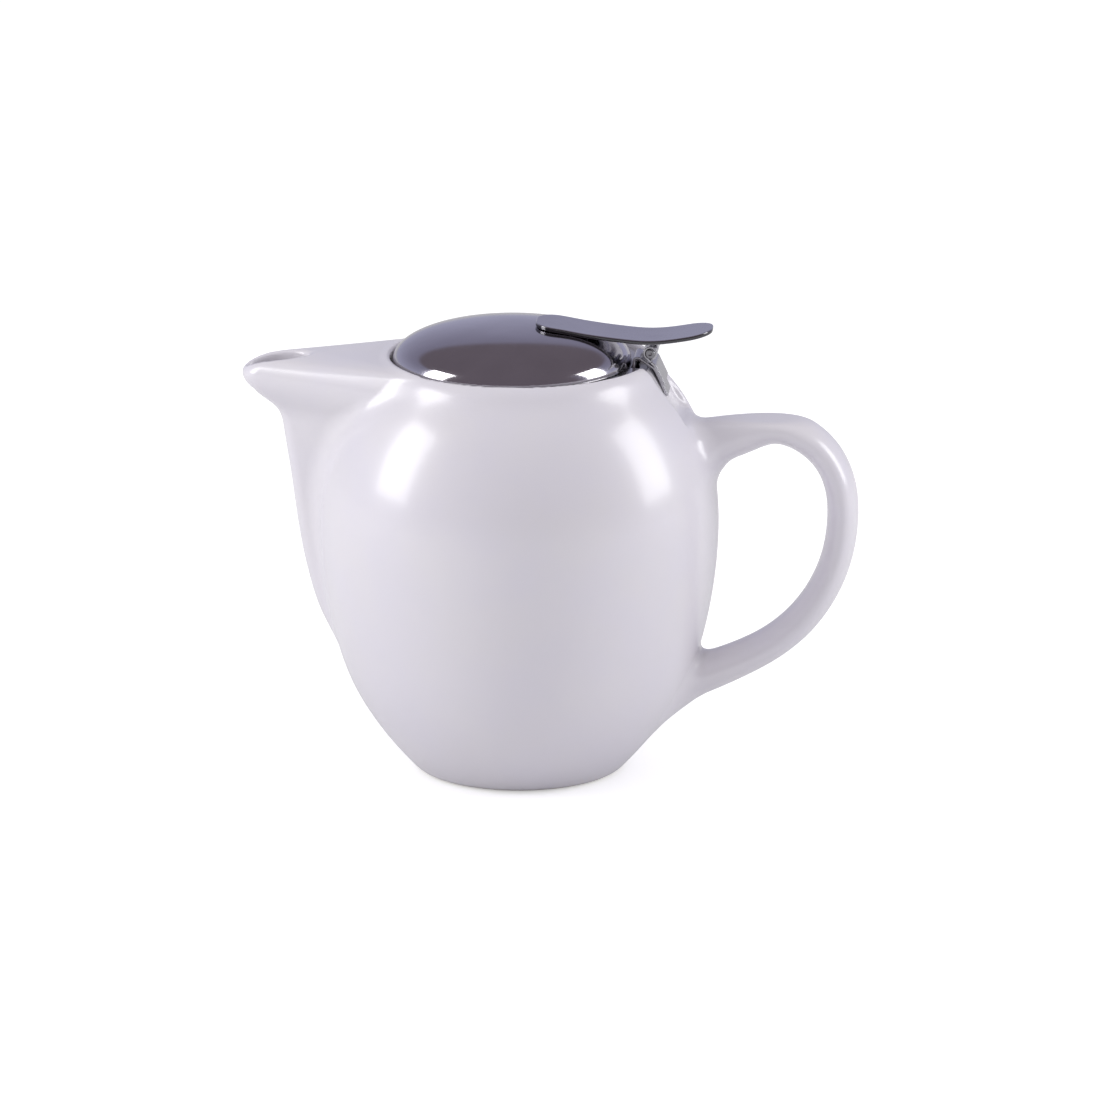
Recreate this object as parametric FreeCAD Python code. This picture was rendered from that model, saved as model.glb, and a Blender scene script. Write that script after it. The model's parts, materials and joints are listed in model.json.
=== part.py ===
"""Ceramic teapot with a lift-out steel infuser and a hinged steel lid, as separate solids in millimetres.

The origin is the centre of the foot on the surface that the pot stands on. +Z is up, +X points to the
handle, -X to the spout, and the XZ plane is the plane of symmetry.
"""
import FreeCAD
import Part
import math
import os

from FreeCAD import Vector

# ---- driving dimensions, in millimetres -------------------------------------------------------------
RIM_Z = 113.3             # top of the ceramic lip
LIP_CREST_R = 35.7
MOUTH_R = 34.3            # bore inside the lip, which the lid and the infuser's flange drop into
SEAT_Z = 110.6            # ledge that the infuser's flange hangs on
NECK_R = 31.9             # bore below the ledge
NECK_BOTTOM_Z = 106.5
BASE_R = 27.2             # outer edge of the standing ring
HEEL_MID = (28.3, 0.45)   # the heel's arc passes through this
LIP_OUT_MID = (36.55, 112.75)
LIP_IN_MID = (34.75, 112.95)
LIP_IN_Z = 112.1          # where the lip's inner arc meets the bore
FOOT_RECESS_TOP_R = 20.0
FOOT_RECESS_R = 21.8
FOOT_RECESS = 2.2
FLOOR_Z = 6.0             # inside floor of the pot
BASE_TOP_Z = 26.0         # the body is drawn as a base, a belly and a shoulder that meet face to face
SHOULDER_Z = 86.0

CHANNEL_HALF_W = 9.75     # recess in the shoulder that the clip lies in and the lever swings into
CHANNEL_END_Z = 97.2

PIN_X = 35.3              # hinge axis, along Y
PIN_Z = 115.7
PIN_R = 1.15
PIN_RUN = 0.05            # running clearance of the knuckles
PIN_END_PLAY = 0.15
PIN_HEAD_T = 0.5
PIN_HEAD_R = 1.45
PIN_HEAD_BEVEL = 0.35
DIMPLE_R = 0.45
DIMPLE_DEPTH = 0.35
SHEET = 0.7               # steel strip of the clip and the hinge
ROLL_IN_R = PIN_R + PIN_RUN
ROLL_OUT_R = ROLL_IN_R + SHEET
HINGE_HALF_W = 6.5
LEVER_ROLL_HALF_W = 3.4
ROLL_GAP = 0.3            # side play between the knuckles
ROLL_CLEAR = 0.35         # room round the lever's knuckle
CLIP_HALF_W = 5.0

LID_R = 31.9
LID_H = 10.4
LID_Z = 111.5             # edge of the lid
LID_X = -1.9              # the lid sits towards the spout, clear of the clip
LID_SHEET = 0.8
LID_POWER = 2.2           # superellipse exponent of the dome
LID_HEM = 2.0             # turned-in edge

LEVER_T = 1.1
LEVER_HALF_W = 8.0
LEVER_FRONT_X = 4.6
LEVER_TAIL_X = 51.6
LEVER_FRONT_CORNER = 5.7
LEVER_TAIL_CORNER = 6.6
KNUCKLE_PAD = 4.2         # length of the knuckle's leaf against the lever
KNUCKLE_SWEEP = 290
BRACKET_SWEEP = 300

FLANGE_R = 34.0
FLANGE_T = 0.8
COLLAR_R = 29.3
COLLAR_T = 0.4
COLLAR_BOTTOM_Z = 104.5
MESH_T = 0.5              # two crossing wires
MESH_INTO_COLLAR = 3.5
SEAM_T = 0.3
SEAM_HALF_W = 3.0
FLANGE_BEND = 0.9
FLOOR_LAP = 1.8           # how far the mesh floor lies on the pressed ring
BASKET_BOTTOM_Z = 46.0
CUP_TOP_Z = 53.0
CUP_T = 0.4
CUP_CORNER = 4.0
BASE_HOLE_R = 22.5
NOTCH_X = 30.15           # flat notch in the flange, for the clip's inner leg
NOTCH_HALF_W = 5.5

SPOUT_WALL = 3.6
VOID_BOTTOM_Z = 52.0
VOID_TOP_Z = 108.6
VOID_FRONT_MIN_R = 1.6
WEB_X = -40.5             # above WEB_Z the wall between the pot's mouth and the spout stays whole
WEB_Z = 99.5

# ---- outlines in the XZ plane ------------------------------------------------------------------------
BODY_OUTSIDE = [(28.9, 1.4), (33.9, 7.0), (39.2, 14.0), (45.0, 24.0), (49.7, 38.0), (52.3, 52.0),
                (53.4, 66.0), (52.4, 80.0), (48.5, 93.0), (42.9, 103.0), (38.4, 109.0), (37.0, 111.5)]
BODY_INSIDE = [(NECK_R, NECK_BOTTOM_Z), (38.6, 100.2), (44.0, 90.5), (47.7, 79.0), (48.8, 66.0),
               (47.7, 52.0), (45.0, 38.0), (40.2, 25.0), (34.4, 15.5), (28.5, 9.4), (22.0, FLOOR_Z)]
CHANNEL_FLOOR = [(32.8, 111.2), (35.2, 111.2), (36.5, 109.4), (39.6, 102.8), (43.4, CHANNEL_END_Z)]

# handle: centre line X, Z, then half the thickness and half the width
HANDLE = [(44.0, 88.6, 7.4, 8.2), (52.5, 91.0, 6.2, 8.2), (60.0, 93.3, 5.5, 8.2), (68.0, 95.0, 4.5, 8.2),
          (76.0, 92.6, 4.3, 8.2), (82.5, 86.6, 4.2, 8.2), (86.0, 78.0, 4.15, 8.2), (86.5, 69.5, 4.15, 8.2),
          (85.0, 59.5, 4.15, 8.2), (81.2, 50.0, 4.2, 8.2), (75.2, 41.6, 4.3, 8.1), (67.3, 34.9, 4.4, 8.0),
          (58.3, 30.0, 4.7, 7.9), (50.5, 26.8, 5.3, 7.8), (43.5, 24.8, 6.3, 7.8)]

# spout by level: Z, front X, radius of the front, half the width where X is SPOUT_ROOT_X
SPOUT_ROOT_X = -28.0
SPOUT = [(34.0, -47.2, 3.8, 8.5), (40.0, -52.2, 3.8, 9.0), (50.0, -56.2, 4.0, 10.0), (65.0, -59.3, 4.4, 12.0),
         (80.0, -61.3, 4.9, 15.5), (92.0, -63.1, 5.8, 20.0), (97.5, -64.7, 6.4, 23.0), (100.3, -67.8, 6.8, 24.5),
         (103.0, -71.4, 7.2, 25.4), (105.5, -73.6, 7.5, 25.5), (108.0, -74.1, 7.6, 25.2), (110.0, -72.6, 7.4, 24.3),
         (111.8, -68.4, 6.8, 23.4), (112.8, -62.0, 6.2, 22.2)]
POUR_HOLE = (-64.4, 8.0, 4.7)          # centre X, half length, half width
POUR_HOLE_FROM_Z = 103.5

# top surface of the thumb lever
LEVER_TOP = [(LEVER_FRONT_X, 122.95), (10.8, 122.3), (16.0, 121.4), (21.4, 120.6), (28.0, 119.85),
             (34.7, 119.45), (40.0, 119.85), (45.5, 120.75), (LEVER_TAIL_X, 121.85)]

# clip: corners of the strip's middle before bending, inner leg to outer leg, and its bends
CLIP_CORNERS = [(30.85, 104.6), (30.85, 114.9), (36.38, 111.2), (39.8, 103.9)]
CLIP_BENDS = [1.0, 2.0]
BRACKET_TOP_Z = 112.3     # where the hinge leaf leaves the clip's outer leg for the pin
BRACKET_END_Z = 107.2
BRACKET_BEND = 2.5


def p(x, z, y=0.0):
    return Vector(x, y, z)


def spline(points):
    """Smooth edge through points given as X, Z."""
    curve = Part.BSplineCurve()
    curve.interpolate([p(x, z) for x, z in points])
    return curve.toShape()


def line(a, b):
    return Part.LineSegment(p(*a), p(*b)).toShape()


def arc(a, via, b):
    return Part.Arc(p(*a), p(*via), p(*b)).toShape()


def face(edges):
    return Part.Face(Part.Wire(Part.__sortEdges__(edges)))


def revolved(edges):
    return face(edges).revolve(Vector(0, 0, 0), Vector(0, 0, 1), 360)


def prism(edges, half_width):
    """A face in the XZ plane, extruded to both sides of it."""
    flat = face(edges)
    flat.translate(Vector(0, -half_width, 0))
    return flat.extrude(Vector(0, 2 * half_width, 0))


def box(x0, x1, y0, y1, z0, z1):
    return Part.makeBox(x1 - x0, y1 - y0, z1 - z0, Vector(x0, y0, z0))


def unit(a, b):
    length = math.hypot(b[0] - a[0], b[1] - a[1])
    return ((b[0] - a[0]) / length, (b[1] - a[1]) / length)


def along(start, direction, distance, across=0.0):
    """Point at a distance along a direction, and across to its left."""
    dx, dz = direction
    return (start[0] + dx * distance - dz * across, start[1] + dz * distance + dx * across)


def bent_side(corners, bends, across):
    """Edges of one face of a bent strip, and the two ends of that face."""
    edges = []
    at = first = along(corners[0], unit(corners[0], corners[1]), 0, across)
    for i, radius in enumerate(bends):
        before, corner, after = corners[i:i + 3]
        into, out = unit(before, corner), unit(corner, after)
        turn = math.atan2(into[0] * out[1] - into[1] * out[0], into[0] * out[0] + into[1] * out[1])
        hand = math.copysign(1, turn)
        cut = radius * math.tan(abs(turn) / 2)
        start, end = along(corner, into, -cut, across), along(corner, out, cut, across)
        centre = along(corner, into, -cut, hand * radius)
        via = along(centre, unit(centre, corner), radius - hand * across)
        edges += [line(at, start), arc(start, via, end)]
        at = end
    last = along(corners[-1], unit(corners[-2], corners[-1]), 0, across)
    edges.append(line(at, last))
    return edges, first, last


def bent_strip(corners, bends, thickness, half_width):
    """Strip with round bends whose middle runs from corner to corner."""
    left, left_first, left_last = bent_side(corners, bends, thickness / 2)
    right, right_first, right_last = bent_side(corners, bends, -thickness / 2)
    return prism(left + right + [line(left_first, right_first), line(left_last, right_last)], half_width)


def strip_edges(points, thickness):
    """Closed outline of a bent strip whose middle follows a spline through points."""
    curve = Part.BSplineCurve()
    curve.interpolate([p(x, z) for x, z in points])
    first, last = curve.FirstParameter, curve.LastParameter
    steps = 4 * (len(points) - 1)
    sides = ([], [])
    for i in range(steps + 1):
        t = first + (last - first) * i / steps
        at = curve.value(t)
        along = curve.tangent(t)[0]
        for side, offset in zip(sides, (thickness / 2, -thickness / 2)):
            side.append((at.x - along.z * offset, at.z + along.x * offset))
    left, right = sides
    return [spline(left), spline(right), line(left[0], right[0]), line(left[-1], right[-1])]


# ---- ceramic -----------------------------------------------------------------------------------------
def body_filled():
    """The body as if it were solid: what the spout and the handle are trimmed by."""
    heel = arc((BASE_R, 0), HEEL_MID, BODY_OUTSIDE[0])
    crest = (LIP_CREST_R, RIM_Z)
    lip = arc(BODY_OUTSIDE[-1], LIP_OUT_MID, crest)
    return revolved([line((0, 0), (BASE_R, 0)), heel, spline(BODY_OUTSIDE), lip,
                     line(crest, (0, RIM_Z)), line((0, RIM_Z), (0, 0))])


def body_hollow():
    """The body of revolution with its wall, lip, ledge and foot."""
    heel = arc((BASE_R, 0), HEEL_MID, BODY_OUTSIDE[0])
    crest = (LIP_CREST_R, RIM_Z)
    lip_out = arc(BODY_OUTSIDE[-1], LIP_OUT_MID, crest)
    lip_in = arc(crest, LIP_IN_MID, (MOUTH_R, LIP_IN_Z))
    floor_edge = BODY_INSIDE[-1]
    edges = [
        line((0, FOOT_RECESS), (FOOT_RECESS_TOP_R, FOOT_RECESS)),
        line((FOOT_RECESS_TOP_R, FOOT_RECESS), (FOOT_RECESS_R, 0)),
        line((FOOT_RECESS_R, 0), (BASE_R, 0)), heel, spline(BODY_OUTSIDE), lip_out, lip_in,
        line((MOUTH_R, LIP_IN_Z), (MOUTH_R, SEAT_Z)), line((MOUTH_R, SEAT_Z), (NECK_R, SEAT_Z)),
        line((NECK_R, SEAT_Z), (NECK_R, NECK_BOTTOM_Z)), spline(BODY_INSIDE),
        line(floor_edge, (0, FLOOR_Z)), line((0, FLOOR_Z), (0, FOOT_RECESS))]
    return revolved(edges)


def spout_section(z, front_x, radius, root_half_w):
    """Level outline of the spout: a round front with straight sides that are tangent to it."""
    centre_x = front_x + radius
    reach = SPOUT_ROOT_X - centre_x
    far = math.hypot(reach, root_half_w)
    lean = math.atan2(root_half_w, reach) + math.acos(radius / far)
    tx, ty = centre_x + radius * math.cos(lean), radius * math.sin(lean)
    front = Part.Arc(Vector(tx, ty, z), Vector(front_x, 0, z), Vector(tx, -ty, z)).toShape()
    root = [Vector(SPOUT_ROOT_X, -root_half_w, z), Vector(SPOUT_ROOT_X, root_half_w, z)]
    return Part.Wire([front, Part.LineSegment(Vector(tx, -ty, z), root[0]).toShape(),
                      Part.LineSegment(root[0], root[1]).toShape(),
                      Part.LineSegment(root[1], Vector(tx, ty, z)).toShape()])


def spout_filled():
    return Part.makeLoft([spout_section(*level) for level in SPOUT], True)


def spout_void():
    """The way that the tea takes: inside the spout, through the body's wall and out of the pour hole."""
    levels = []
    for z, front_x, radius, half_w in SPOUT:
        if z < VOID_BOTTOM_Z or z > VOID_TOP_Z:
            continue
        front_r = max(VOID_FRONT_MIN_R, radius - 0.62 * SPOUT_WALL)
        levels.append((z, front_x + SPOUT_WALL, front_r, half_w - SPOUT_WALL))
    top = levels[-1]
    levels.append((VOID_TOP_Z, top[1] + 0.6, top[2], top[3]))
    passage = Part.makeLoft([spout_section(*level) for level in levels], True)
    passage = passage.cut(box(WEB_X, 0, -MOUTH_R, MOUTH_R, WEB_Z, RIM_Z + 5))
    centre_x, half_l, half_w = POUR_HOLE
    rim = Part.Ellipse(Vector(centre_x, 0, POUR_HOLE_FROM_Z), half_l, half_w).toShape()
    hole = Part.Face(Part.Wire([rim])).extrude(Vector(0, 0, RIM_Z + 4 - POUR_HOLE_FROM_Z))
    return passage.fuse(hole)


def channel():
    """What is taken out of the shoulder behind the lid."""
    far_x, top_z = 60.0, RIM_Z + 3
    start, end = CHANNEL_FLOOR[0], CHANNEL_FLOOR[-1]
    edges = [line(CHANNEL_FLOOR[0], CHANNEL_FLOOR[1]), spline(CHANNEL_FLOOR[1:]),
             line(end, (far_x, end[1])), line((far_x, end[1]), (far_x, top_z)),
             line((far_x, top_z), (start[0], top_z)), line((start[0], top_z), start)]
    return prism(edges, CHANNEL_HALF_W)


def handle():
    """Oval sections square to the handle's centre line, lofted and trimmed where they enter the body."""
    curve = Part.BSplineCurve()
    curve.interpolate([p(x, z) for x, z, _, _ in HANDLE])
    wires = []
    for x, z, half_t, half_w in HANDLE:
        along = curve.tangent(curve.parameter(p(x, z)))[0]
        ring = Part.Ellipse()
        ring.MajorRadius, ring.MinorRadius = half_w, half_t
        shape = ring.toShape()
        across = Vector(0, 1, 0)
        normal = along.cross(across)
        shape.Placement = FreeCAD.Placement(p(x, z), FreeCAD.Rotation(across, normal, along, "ZXY"))
        wires.append(Part.Wire([shape]))
    return Part.makeLoft(wires, True)


# ---- infuser -----------------------------------------------------------------------------------------
def infuser_rim():
    """Stamped flange that hangs on the ledge, with a collar that the mesh is welded into."""
    top, under = SEAT_Z + FLANGE_T, SEAT_Z
    inner = COLLAR_R - COLLAR_T
    bend = FLANGE_BEND + COLLAR_T
    mid = bend * (1 - math.sqrt(0.5))
    edges = [line((FLANGE_R, under), (FLANGE_R, top)), line((FLANGE_R, top), (inner + bend, top)),
             arc((inner + bend, top), (inner + mid, top - mid), (inner, top - bend)),
             line((inner, top - bend), (inner, COLLAR_BOTTOM_Z)),
             line((inner, COLLAR_BOTTOM_Z), (COLLAR_R, COLLAR_BOTTOM_Z)),
             line((COLLAR_R, COLLAR_BOTTOM_Z), (COLLAR_R, under - COLLAR_T)),
             line((COLLAR_R, under - COLLAR_T), (COLLAR_R + COLLAR_T, under)),
             line((COLLAR_R + COLLAR_T, under), (FLANGE_R, under))]
    return revolved(edges).cut(box(NOTCH_X, FLANGE_R + 1, -NOTCH_HALF_W, NOTCH_HALF_W, under - 1, top + 1))


def tube(outer_r, wall, z0, z1):
    outside = Part.makeCylinder(outer_r, z1 - z0, Vector(0, 0, z0))
    return outside.cut(Part.makeCylinder(outer_r - wall, z1 - z0 + 2, Vector(0, 0, z0 - 1)))


MESH_R = COLLAR_R - COLLAR_T


def infuser_mesh():
    return tube(MESH_R, MESH_T, BASKET_BOTTOM_Z + CUP_CORNER + CUP_T, COLLAR_BOTTOM_Z + MESH_INTO_COLLAR)


def infuser_seam():
    """Narrow strip welded over the joint of the mesh, inside it and away from the spout."""
    inner = MESH_R - MESH_T
    z0, z1 = CUP_TOP_Z + 0.5, COLLAR_BOTTOM_Z - 1
    return tube(inner, SEAM_T, z0, z1).common(box(0, COLLAR_R, -SEAM_HALF_W, SEAM_HALF_W, z0 - 1, z1 + 1))


def infuser_cup():
    """Pressed ring that closes the lower edge of the mesh, with the hole that the mesh floor covers."""
    inner, outer = MESH_R, MESH_R + CUP_T
    z = BASKET_BOTTOM_Z
    turn = CUP_CORNER * (1 - math.sqrt(0.5))
    turn_out = (CUP_CORNER + CUP_T) * (1 - math.sqrt(0.5))
    edges = [line((inner, CUP_TOP_Z), (outer, CUP_TOP_Z)), line((outer, CUP_TOP_Z), (outer, z + CUP_CORNER + CUP_T)),
             arc((outer, z + CUP_CORNER + CUP_T), (outer - turn_out, z + turn_out),
                 (outer - CUP_CORNER - CUP_T, z)),
             line((outer - CUP_CORNER - CUP_T, z), (BASE_HOLE_R, z)),
             line((BASE_HOLE_R, z), (BASE_HOLE_R, z + CUP_T)),
             line((BASE_HOLE_R, z + CUP_T), (inner - CUP_CORNER, z + CUP_T)),
             arc((inner - CUP_CORNER, z + CUP_T), (inner - turn, z + CUP_T + turn),
                 (inner, z + CUP_CORNER + CUP_T)),
             line((inner, z + CUP_CORNER + CUP_T), (inner, CUP_TOP_Z))]
    return revolved(edges)


def infuser_floor():
    """Round of mesh that lies on the ring."""
    return Part.makeCylinder(BASE_HOLE_R + FLOOR_LAP, MESH_T, Vector(0, 0, BASKET_BOTTOM_Z + CUP_T))


# ---- clip and hinge ----------------------------------------------------------------------------------
def clip_spring():
    return bent_strip(CLIP_CORNERS, CLIP_BENDS, SHEET, CLIP_HALF_W)


def ring_part(start_deg, sweep_deg):
    """Sector of the rolled strip round the pin, as a face outline."""
    a0, a1 = math.radians(start_deg), math.radians(start_deg - sweep_deg)
    mid = (a0 + a1) / 2

    def at(radius, angle):
        return (PIN_X + radius * math.cos(angle), PIN_Z + radius * math.sin(angle))

    return [arc(at(ROLL_OUT_R, a0), at(ROLL_OUT_R, mid), at(ROLL_OUT_R, a1)),
            line(at(ROLL_OUT_R, a1), at(ROLL_IN_R, a1)),
            arc(at(ROLL_IN_R, a1), at(ROLL_IN_R, mid), at(ROLL_IN_R, a0)),
            line(at(ROLL_IN_R, a0), at(ROLL_OUT_R, a0))]


def hinge_bracket():
    """Leaf welded to the clip's outer leg, rolled round the pin at both sides of the lever's knuckle."""
    down = unit(CLIP_CORNERS[-2], CLIP_CORNERS[-1])
    beside = along(CLIP_CORNERS[-1], down, 0, SHEET)
    top = along(beside, down, (BRACKET_TOP_Z - beside[1]) / down[1])
    foot = along(beside, down, (BRACKET_END_Z - beside[1]) / down[1])
    mean = (ROLL_IN_R + ROLL_OUT_R) / 2
    reach = math.hypot(PIN_X - top[0], PIN_Z - top[1])
    lean = math.atan2(PIN_Z - top[1], PIN_X - top[0]) + math.asin(mean / reach)
    touch = along(top, (math.cos(lean), math.sin(lean)), math.sqrt(reach ** 2 - mean ** 2))
    leaf = bent_strip([foot, top, touch], [BRACKET_BEND], SHEET, HINGE_HALF_W)
    roll = prism(ring_part(math.degrees(lean) + 90, BRACKET_SWEEP), HINGE_HALF_W)
    inner = LEVER_ROLL_HALF_W + ROLL_GAP
    gap = Part.makeCylinder(ROLL_OUT_R + ROLL_CLEAR, 2 * inner, Vector(PIN_X, -inner, PIN_Z), Vector(0, 1, 0))
    return leaf.fuse(roll).cut(gap).removeSplitter()


def hinge_pin():
    """Pin with peened heads, each with a small centre dimple."""
    half = HINGE_HALF_W + PIN_END_PLAY
    axis = Vector(0, 1, 0)
    pin = Part.makeCylinder(PIN_R, 2 * half, Vector(PIN_X, -half, PIN_Z), axis)
    for side in (-1, 1):
        seat = Vector(PIN_X, side * half, PIN_Z)
        bottom = seat + axis * (side * (PIN_HEAD_T - DIMPLE_DEPTH))
        pin = pin.fuse(Part.makeCone(PIN_HEAD_R, PIN_HEAD_R - PIN_HEAD_BEVEL, PIN_HEAD_T, seat, axis * side))
        pin = pin.cut(Part.makeCone(0.1, DIMPLE_R, DIMPLE_DEPTH, bottom, axis * side))
    return pin.removeSplitter()


# ---- lid ---------------------------------------------------------------------------------------------
def dome_edge_points(radius, height, steps=14):
    """Quarter of a superellipse, from the crown to the edge, as X, Z about the lid's own axis."""
    points = []
    for i in range(steps + 1):
        t = math.pi / 2 * i / steps
        points.append((radius * math.sin(t) ** (2 / LID_POWER), LID_Z + height * math.cos(t) ** (2 / LID_POWER)))
    return points


def dome_filled():
    outside = dome_edge_points(LID_R, LID_H)
    crown, edge = outside[0], outside[-1]
    dome = revolved([spline(outside), line(edge, (0, LID_Z)), line((0, LID_Z), crown)])
    dome.translate(Vector(LID_X, 0, 0))
    return dome


def lid_dome():
    """Pressed dome with its edge turned in."""
    outside = dome_edge_points(LID_R, LID_H)
    inside = dome_edge_points(LID_R - LID_SHEET, LID_H - LID_SHEET)
    lip_r, lip_z = LID_R - LID_HEM, LID_Z + LID_SHEET
    inside = [q for q in inside if q[1] > lip_z + 0.3]
    corner = (LID_R - LID_SHEET, lip_z)
    edges = [spline(outside), line(outside[-1], (lip_r, LID_Z)), line((lip_r, LID_Z), (lip_r, lip_z)),
             line((lip_r, lip_z), corner), line(corner, inside[-1]), spline(inside), line(inside[0], outside[0])]
    dome = revolved(edges)
    dome.translate(Vector(LID_X, 0, 0))
    return dome


def rounded_plan(x0, x1, half_w, r0, r1, z0, z1):
    """Upright prism over a plan with round corners, r0 at x0 and r1 at x1."""
    k = math.sqrt(0.5)

    def at(x, y):
        return Vector(x, y, z0)

    edges = [
        Part.LineSegment(at(x0 + r0, -half_w), at(x1 - r1, -half_w)).toShape(),
        Part.Arc(at(x1 - r1, -half_w), at(x1 - r1 + r1 * k, -half_w + r1 - r1 * k), at(x1, -half_w + r1)).toShape(),
        Part.LineSegment(at(x1, -half_w + r1), at(x1, half_w - r1)).toShape(),
        Part.Arc(at(x1, half_w - r1), at(x1 - r1 + r1 * k, half_w - r1 + r1 * k), at(x1 - r1, half_w)).toShape(),
        Part.LineSegment(at(x1 - r1, half_w), at(x0 + r0, half_w)).toShape(),
        Part.Arc(at(x0 + r0, half_w), at(x0 + r0 - r0 * k, half_w - r0 + r0 * k), at(x0, half_w - r0)).toShape(),
        Part.LineSegment(at(x0, half_w - r0), at(x0, -half_w + r0)).toShape(),
        Part.Arc(at(x0, -half_w + r0), at(x0 + r0 - r0 * k, -half_w + r0 - r0 * k), at(x0 + r0, -half_w)).toShape()]
    return Part.Face(Part.Wire(edges)).extrude(Vector(0, 0, z1 - z0))


def thumb_lever():
    """Curved strip whose front end is welded to the dome; its tail is what the thumb presses."""
    middle = [(x, z - LEVER_T / 2) for x, z in LEVER_TOP]
    first, last = middle[0], middle[-1]
    longer = [(first[0] - 2, first[1] + 0.2)] + middle + [(last[0] + 2, last[1] + 0.4)]
    strip = prism(strip_edges(longer, LEVER_T), LEVER_HALF_W + 2)
    plan = rounded_plan(LEVER_FRONT_X, LEVER_TAIL_X, LEVER_HALF_W, LEVER_FRONT_CORNER, LEVER_TAIL_CORNER, 110, 130)
    return strip.common(plan).cut(dome_filled())


def lever_knuckle():
    """Leaf welded under the lever, rolled round the pin between the bracket's knuckles."""
    roll = prism(ring_part(0, KNUCKLE_SWEEP), LEVER_ROLL_HALF_W)
    wall_x0, wall_x1 = PIN_X + ROLL_IN_R, PIN_X + ROLL_OUT_R
    high = LEVER_TOP[5][1]
    wall = box(wall_x0, wall_x1, -LEVER_ROLL_HALF_W, LEVER_ROLL_HALF_W, PIN_Z, high)
    pad = box(wall_x0, wall_x1 + KNUCKLE_PAD, -LEVER_ROLL_HALF_W, LEVER_ROLL_HALF_W, high - LEVER_T - SHEET, high)
    leaf = roll.fuse(wall).fuse(pad).cut(thumb_lever())
    return min(leaf.Solids, key=lambda solid: solid.BoundBox.ZMin)


def level_slice(shape, z0, z1):
    """The part of a shape between two levels."""
    wide = 2 * BASE_R + BODY_OUTSIDE[0][0]
    return shape.common(box(-wide, wide, -wide, wide, z0, z1))


def build():
    void = spout_void()
    filled = body_filled()
    body = body_hollow().cut(channel()).cut(void)
    return {
        "pot_base": level_slice(body, -1, BASE_TOP_Z),
        "pot_body": level_slice(body, BASE_TOP_Z, SHOULDER_Z),
        "pot_shoulder": level_slice(body, SHOULDER_Z, RIM_Z + 1),
        "spout": spout_filled().cut(filled).cut(void),
        "handle": handle().cut(filled),
        "infuser_rim": infuser_rim(),
        "infuser_mesh": infuser_mesh(),
        "infuser_seam": infuser_seam(),
        "infuser_cup": infuser_cup(),
        "infuser_floor": infuser_floor(),
        "clip_spring": clip_spring(),
        "hinge_bracket": hinge_bracket(),
        "hinge_pin": hinge_pin(),
        "lid_dome": lid_dome(),
        "thumb_lever": thumb_lever(),
        "lever_knuckle": lever_knuckle(),
    }


def main():
    os.makedirs("parts", exist_ok=True)
    for name, shape in build().items():
        solids = shape.Solids
        print(name, "solids", len(solids), [round(s.Volume, 1) for s in solids], "valid", shape.isValid())
        if len(solids) == 1:
            shape = solids[0]
        shape.exportStep(os.path.join("parts", name + ".step"))


main()
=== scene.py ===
"""Looks of a glazed teapot with a steel infuser and a hinged steel lid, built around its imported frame.

Sizes in the code are millimetres in the part's own frame; every mesh is scaled to metres when it is made.
"""
import json
import math

import bpy
import numpy as np
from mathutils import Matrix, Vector


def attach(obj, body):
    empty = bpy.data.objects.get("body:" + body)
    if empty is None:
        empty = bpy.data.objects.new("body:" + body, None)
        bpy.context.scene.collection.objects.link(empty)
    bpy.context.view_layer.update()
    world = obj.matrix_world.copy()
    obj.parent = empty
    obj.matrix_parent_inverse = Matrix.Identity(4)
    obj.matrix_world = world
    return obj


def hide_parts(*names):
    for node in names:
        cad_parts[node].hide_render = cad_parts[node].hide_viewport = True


bl_info = {
    "name": "Teapot infuser",
    "version": (1, 0, 0),
    "blender": (4, 5, 0),
    "location": "View3D > Sidebar > Teapot",
    "description": "Builds a glazed teapot with a lift-out steel infuser and a hinged steel lid",
    "category": "Add Mesh",
}

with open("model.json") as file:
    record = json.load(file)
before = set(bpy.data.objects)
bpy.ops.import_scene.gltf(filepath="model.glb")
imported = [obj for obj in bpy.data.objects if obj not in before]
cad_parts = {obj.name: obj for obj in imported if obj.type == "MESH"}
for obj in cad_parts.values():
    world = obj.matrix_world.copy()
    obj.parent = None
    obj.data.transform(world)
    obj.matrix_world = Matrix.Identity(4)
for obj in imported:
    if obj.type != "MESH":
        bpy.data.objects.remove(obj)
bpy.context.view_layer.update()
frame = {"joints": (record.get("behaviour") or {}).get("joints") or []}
MM = 0.001


def hinge_axis():
    """X and Z of the lid's hinge, in millimetres."""
    for joint in frame["joints"]:
        if joint["name"] == "lid_hinge":
            return joint["pos_m"][0] / MM, joint["pos_m"][2] / MM
    raise RuntimeError("the frame has no joint named lid_hinge")


PIN_X, PIN_Z = hinge_axis()

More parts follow.
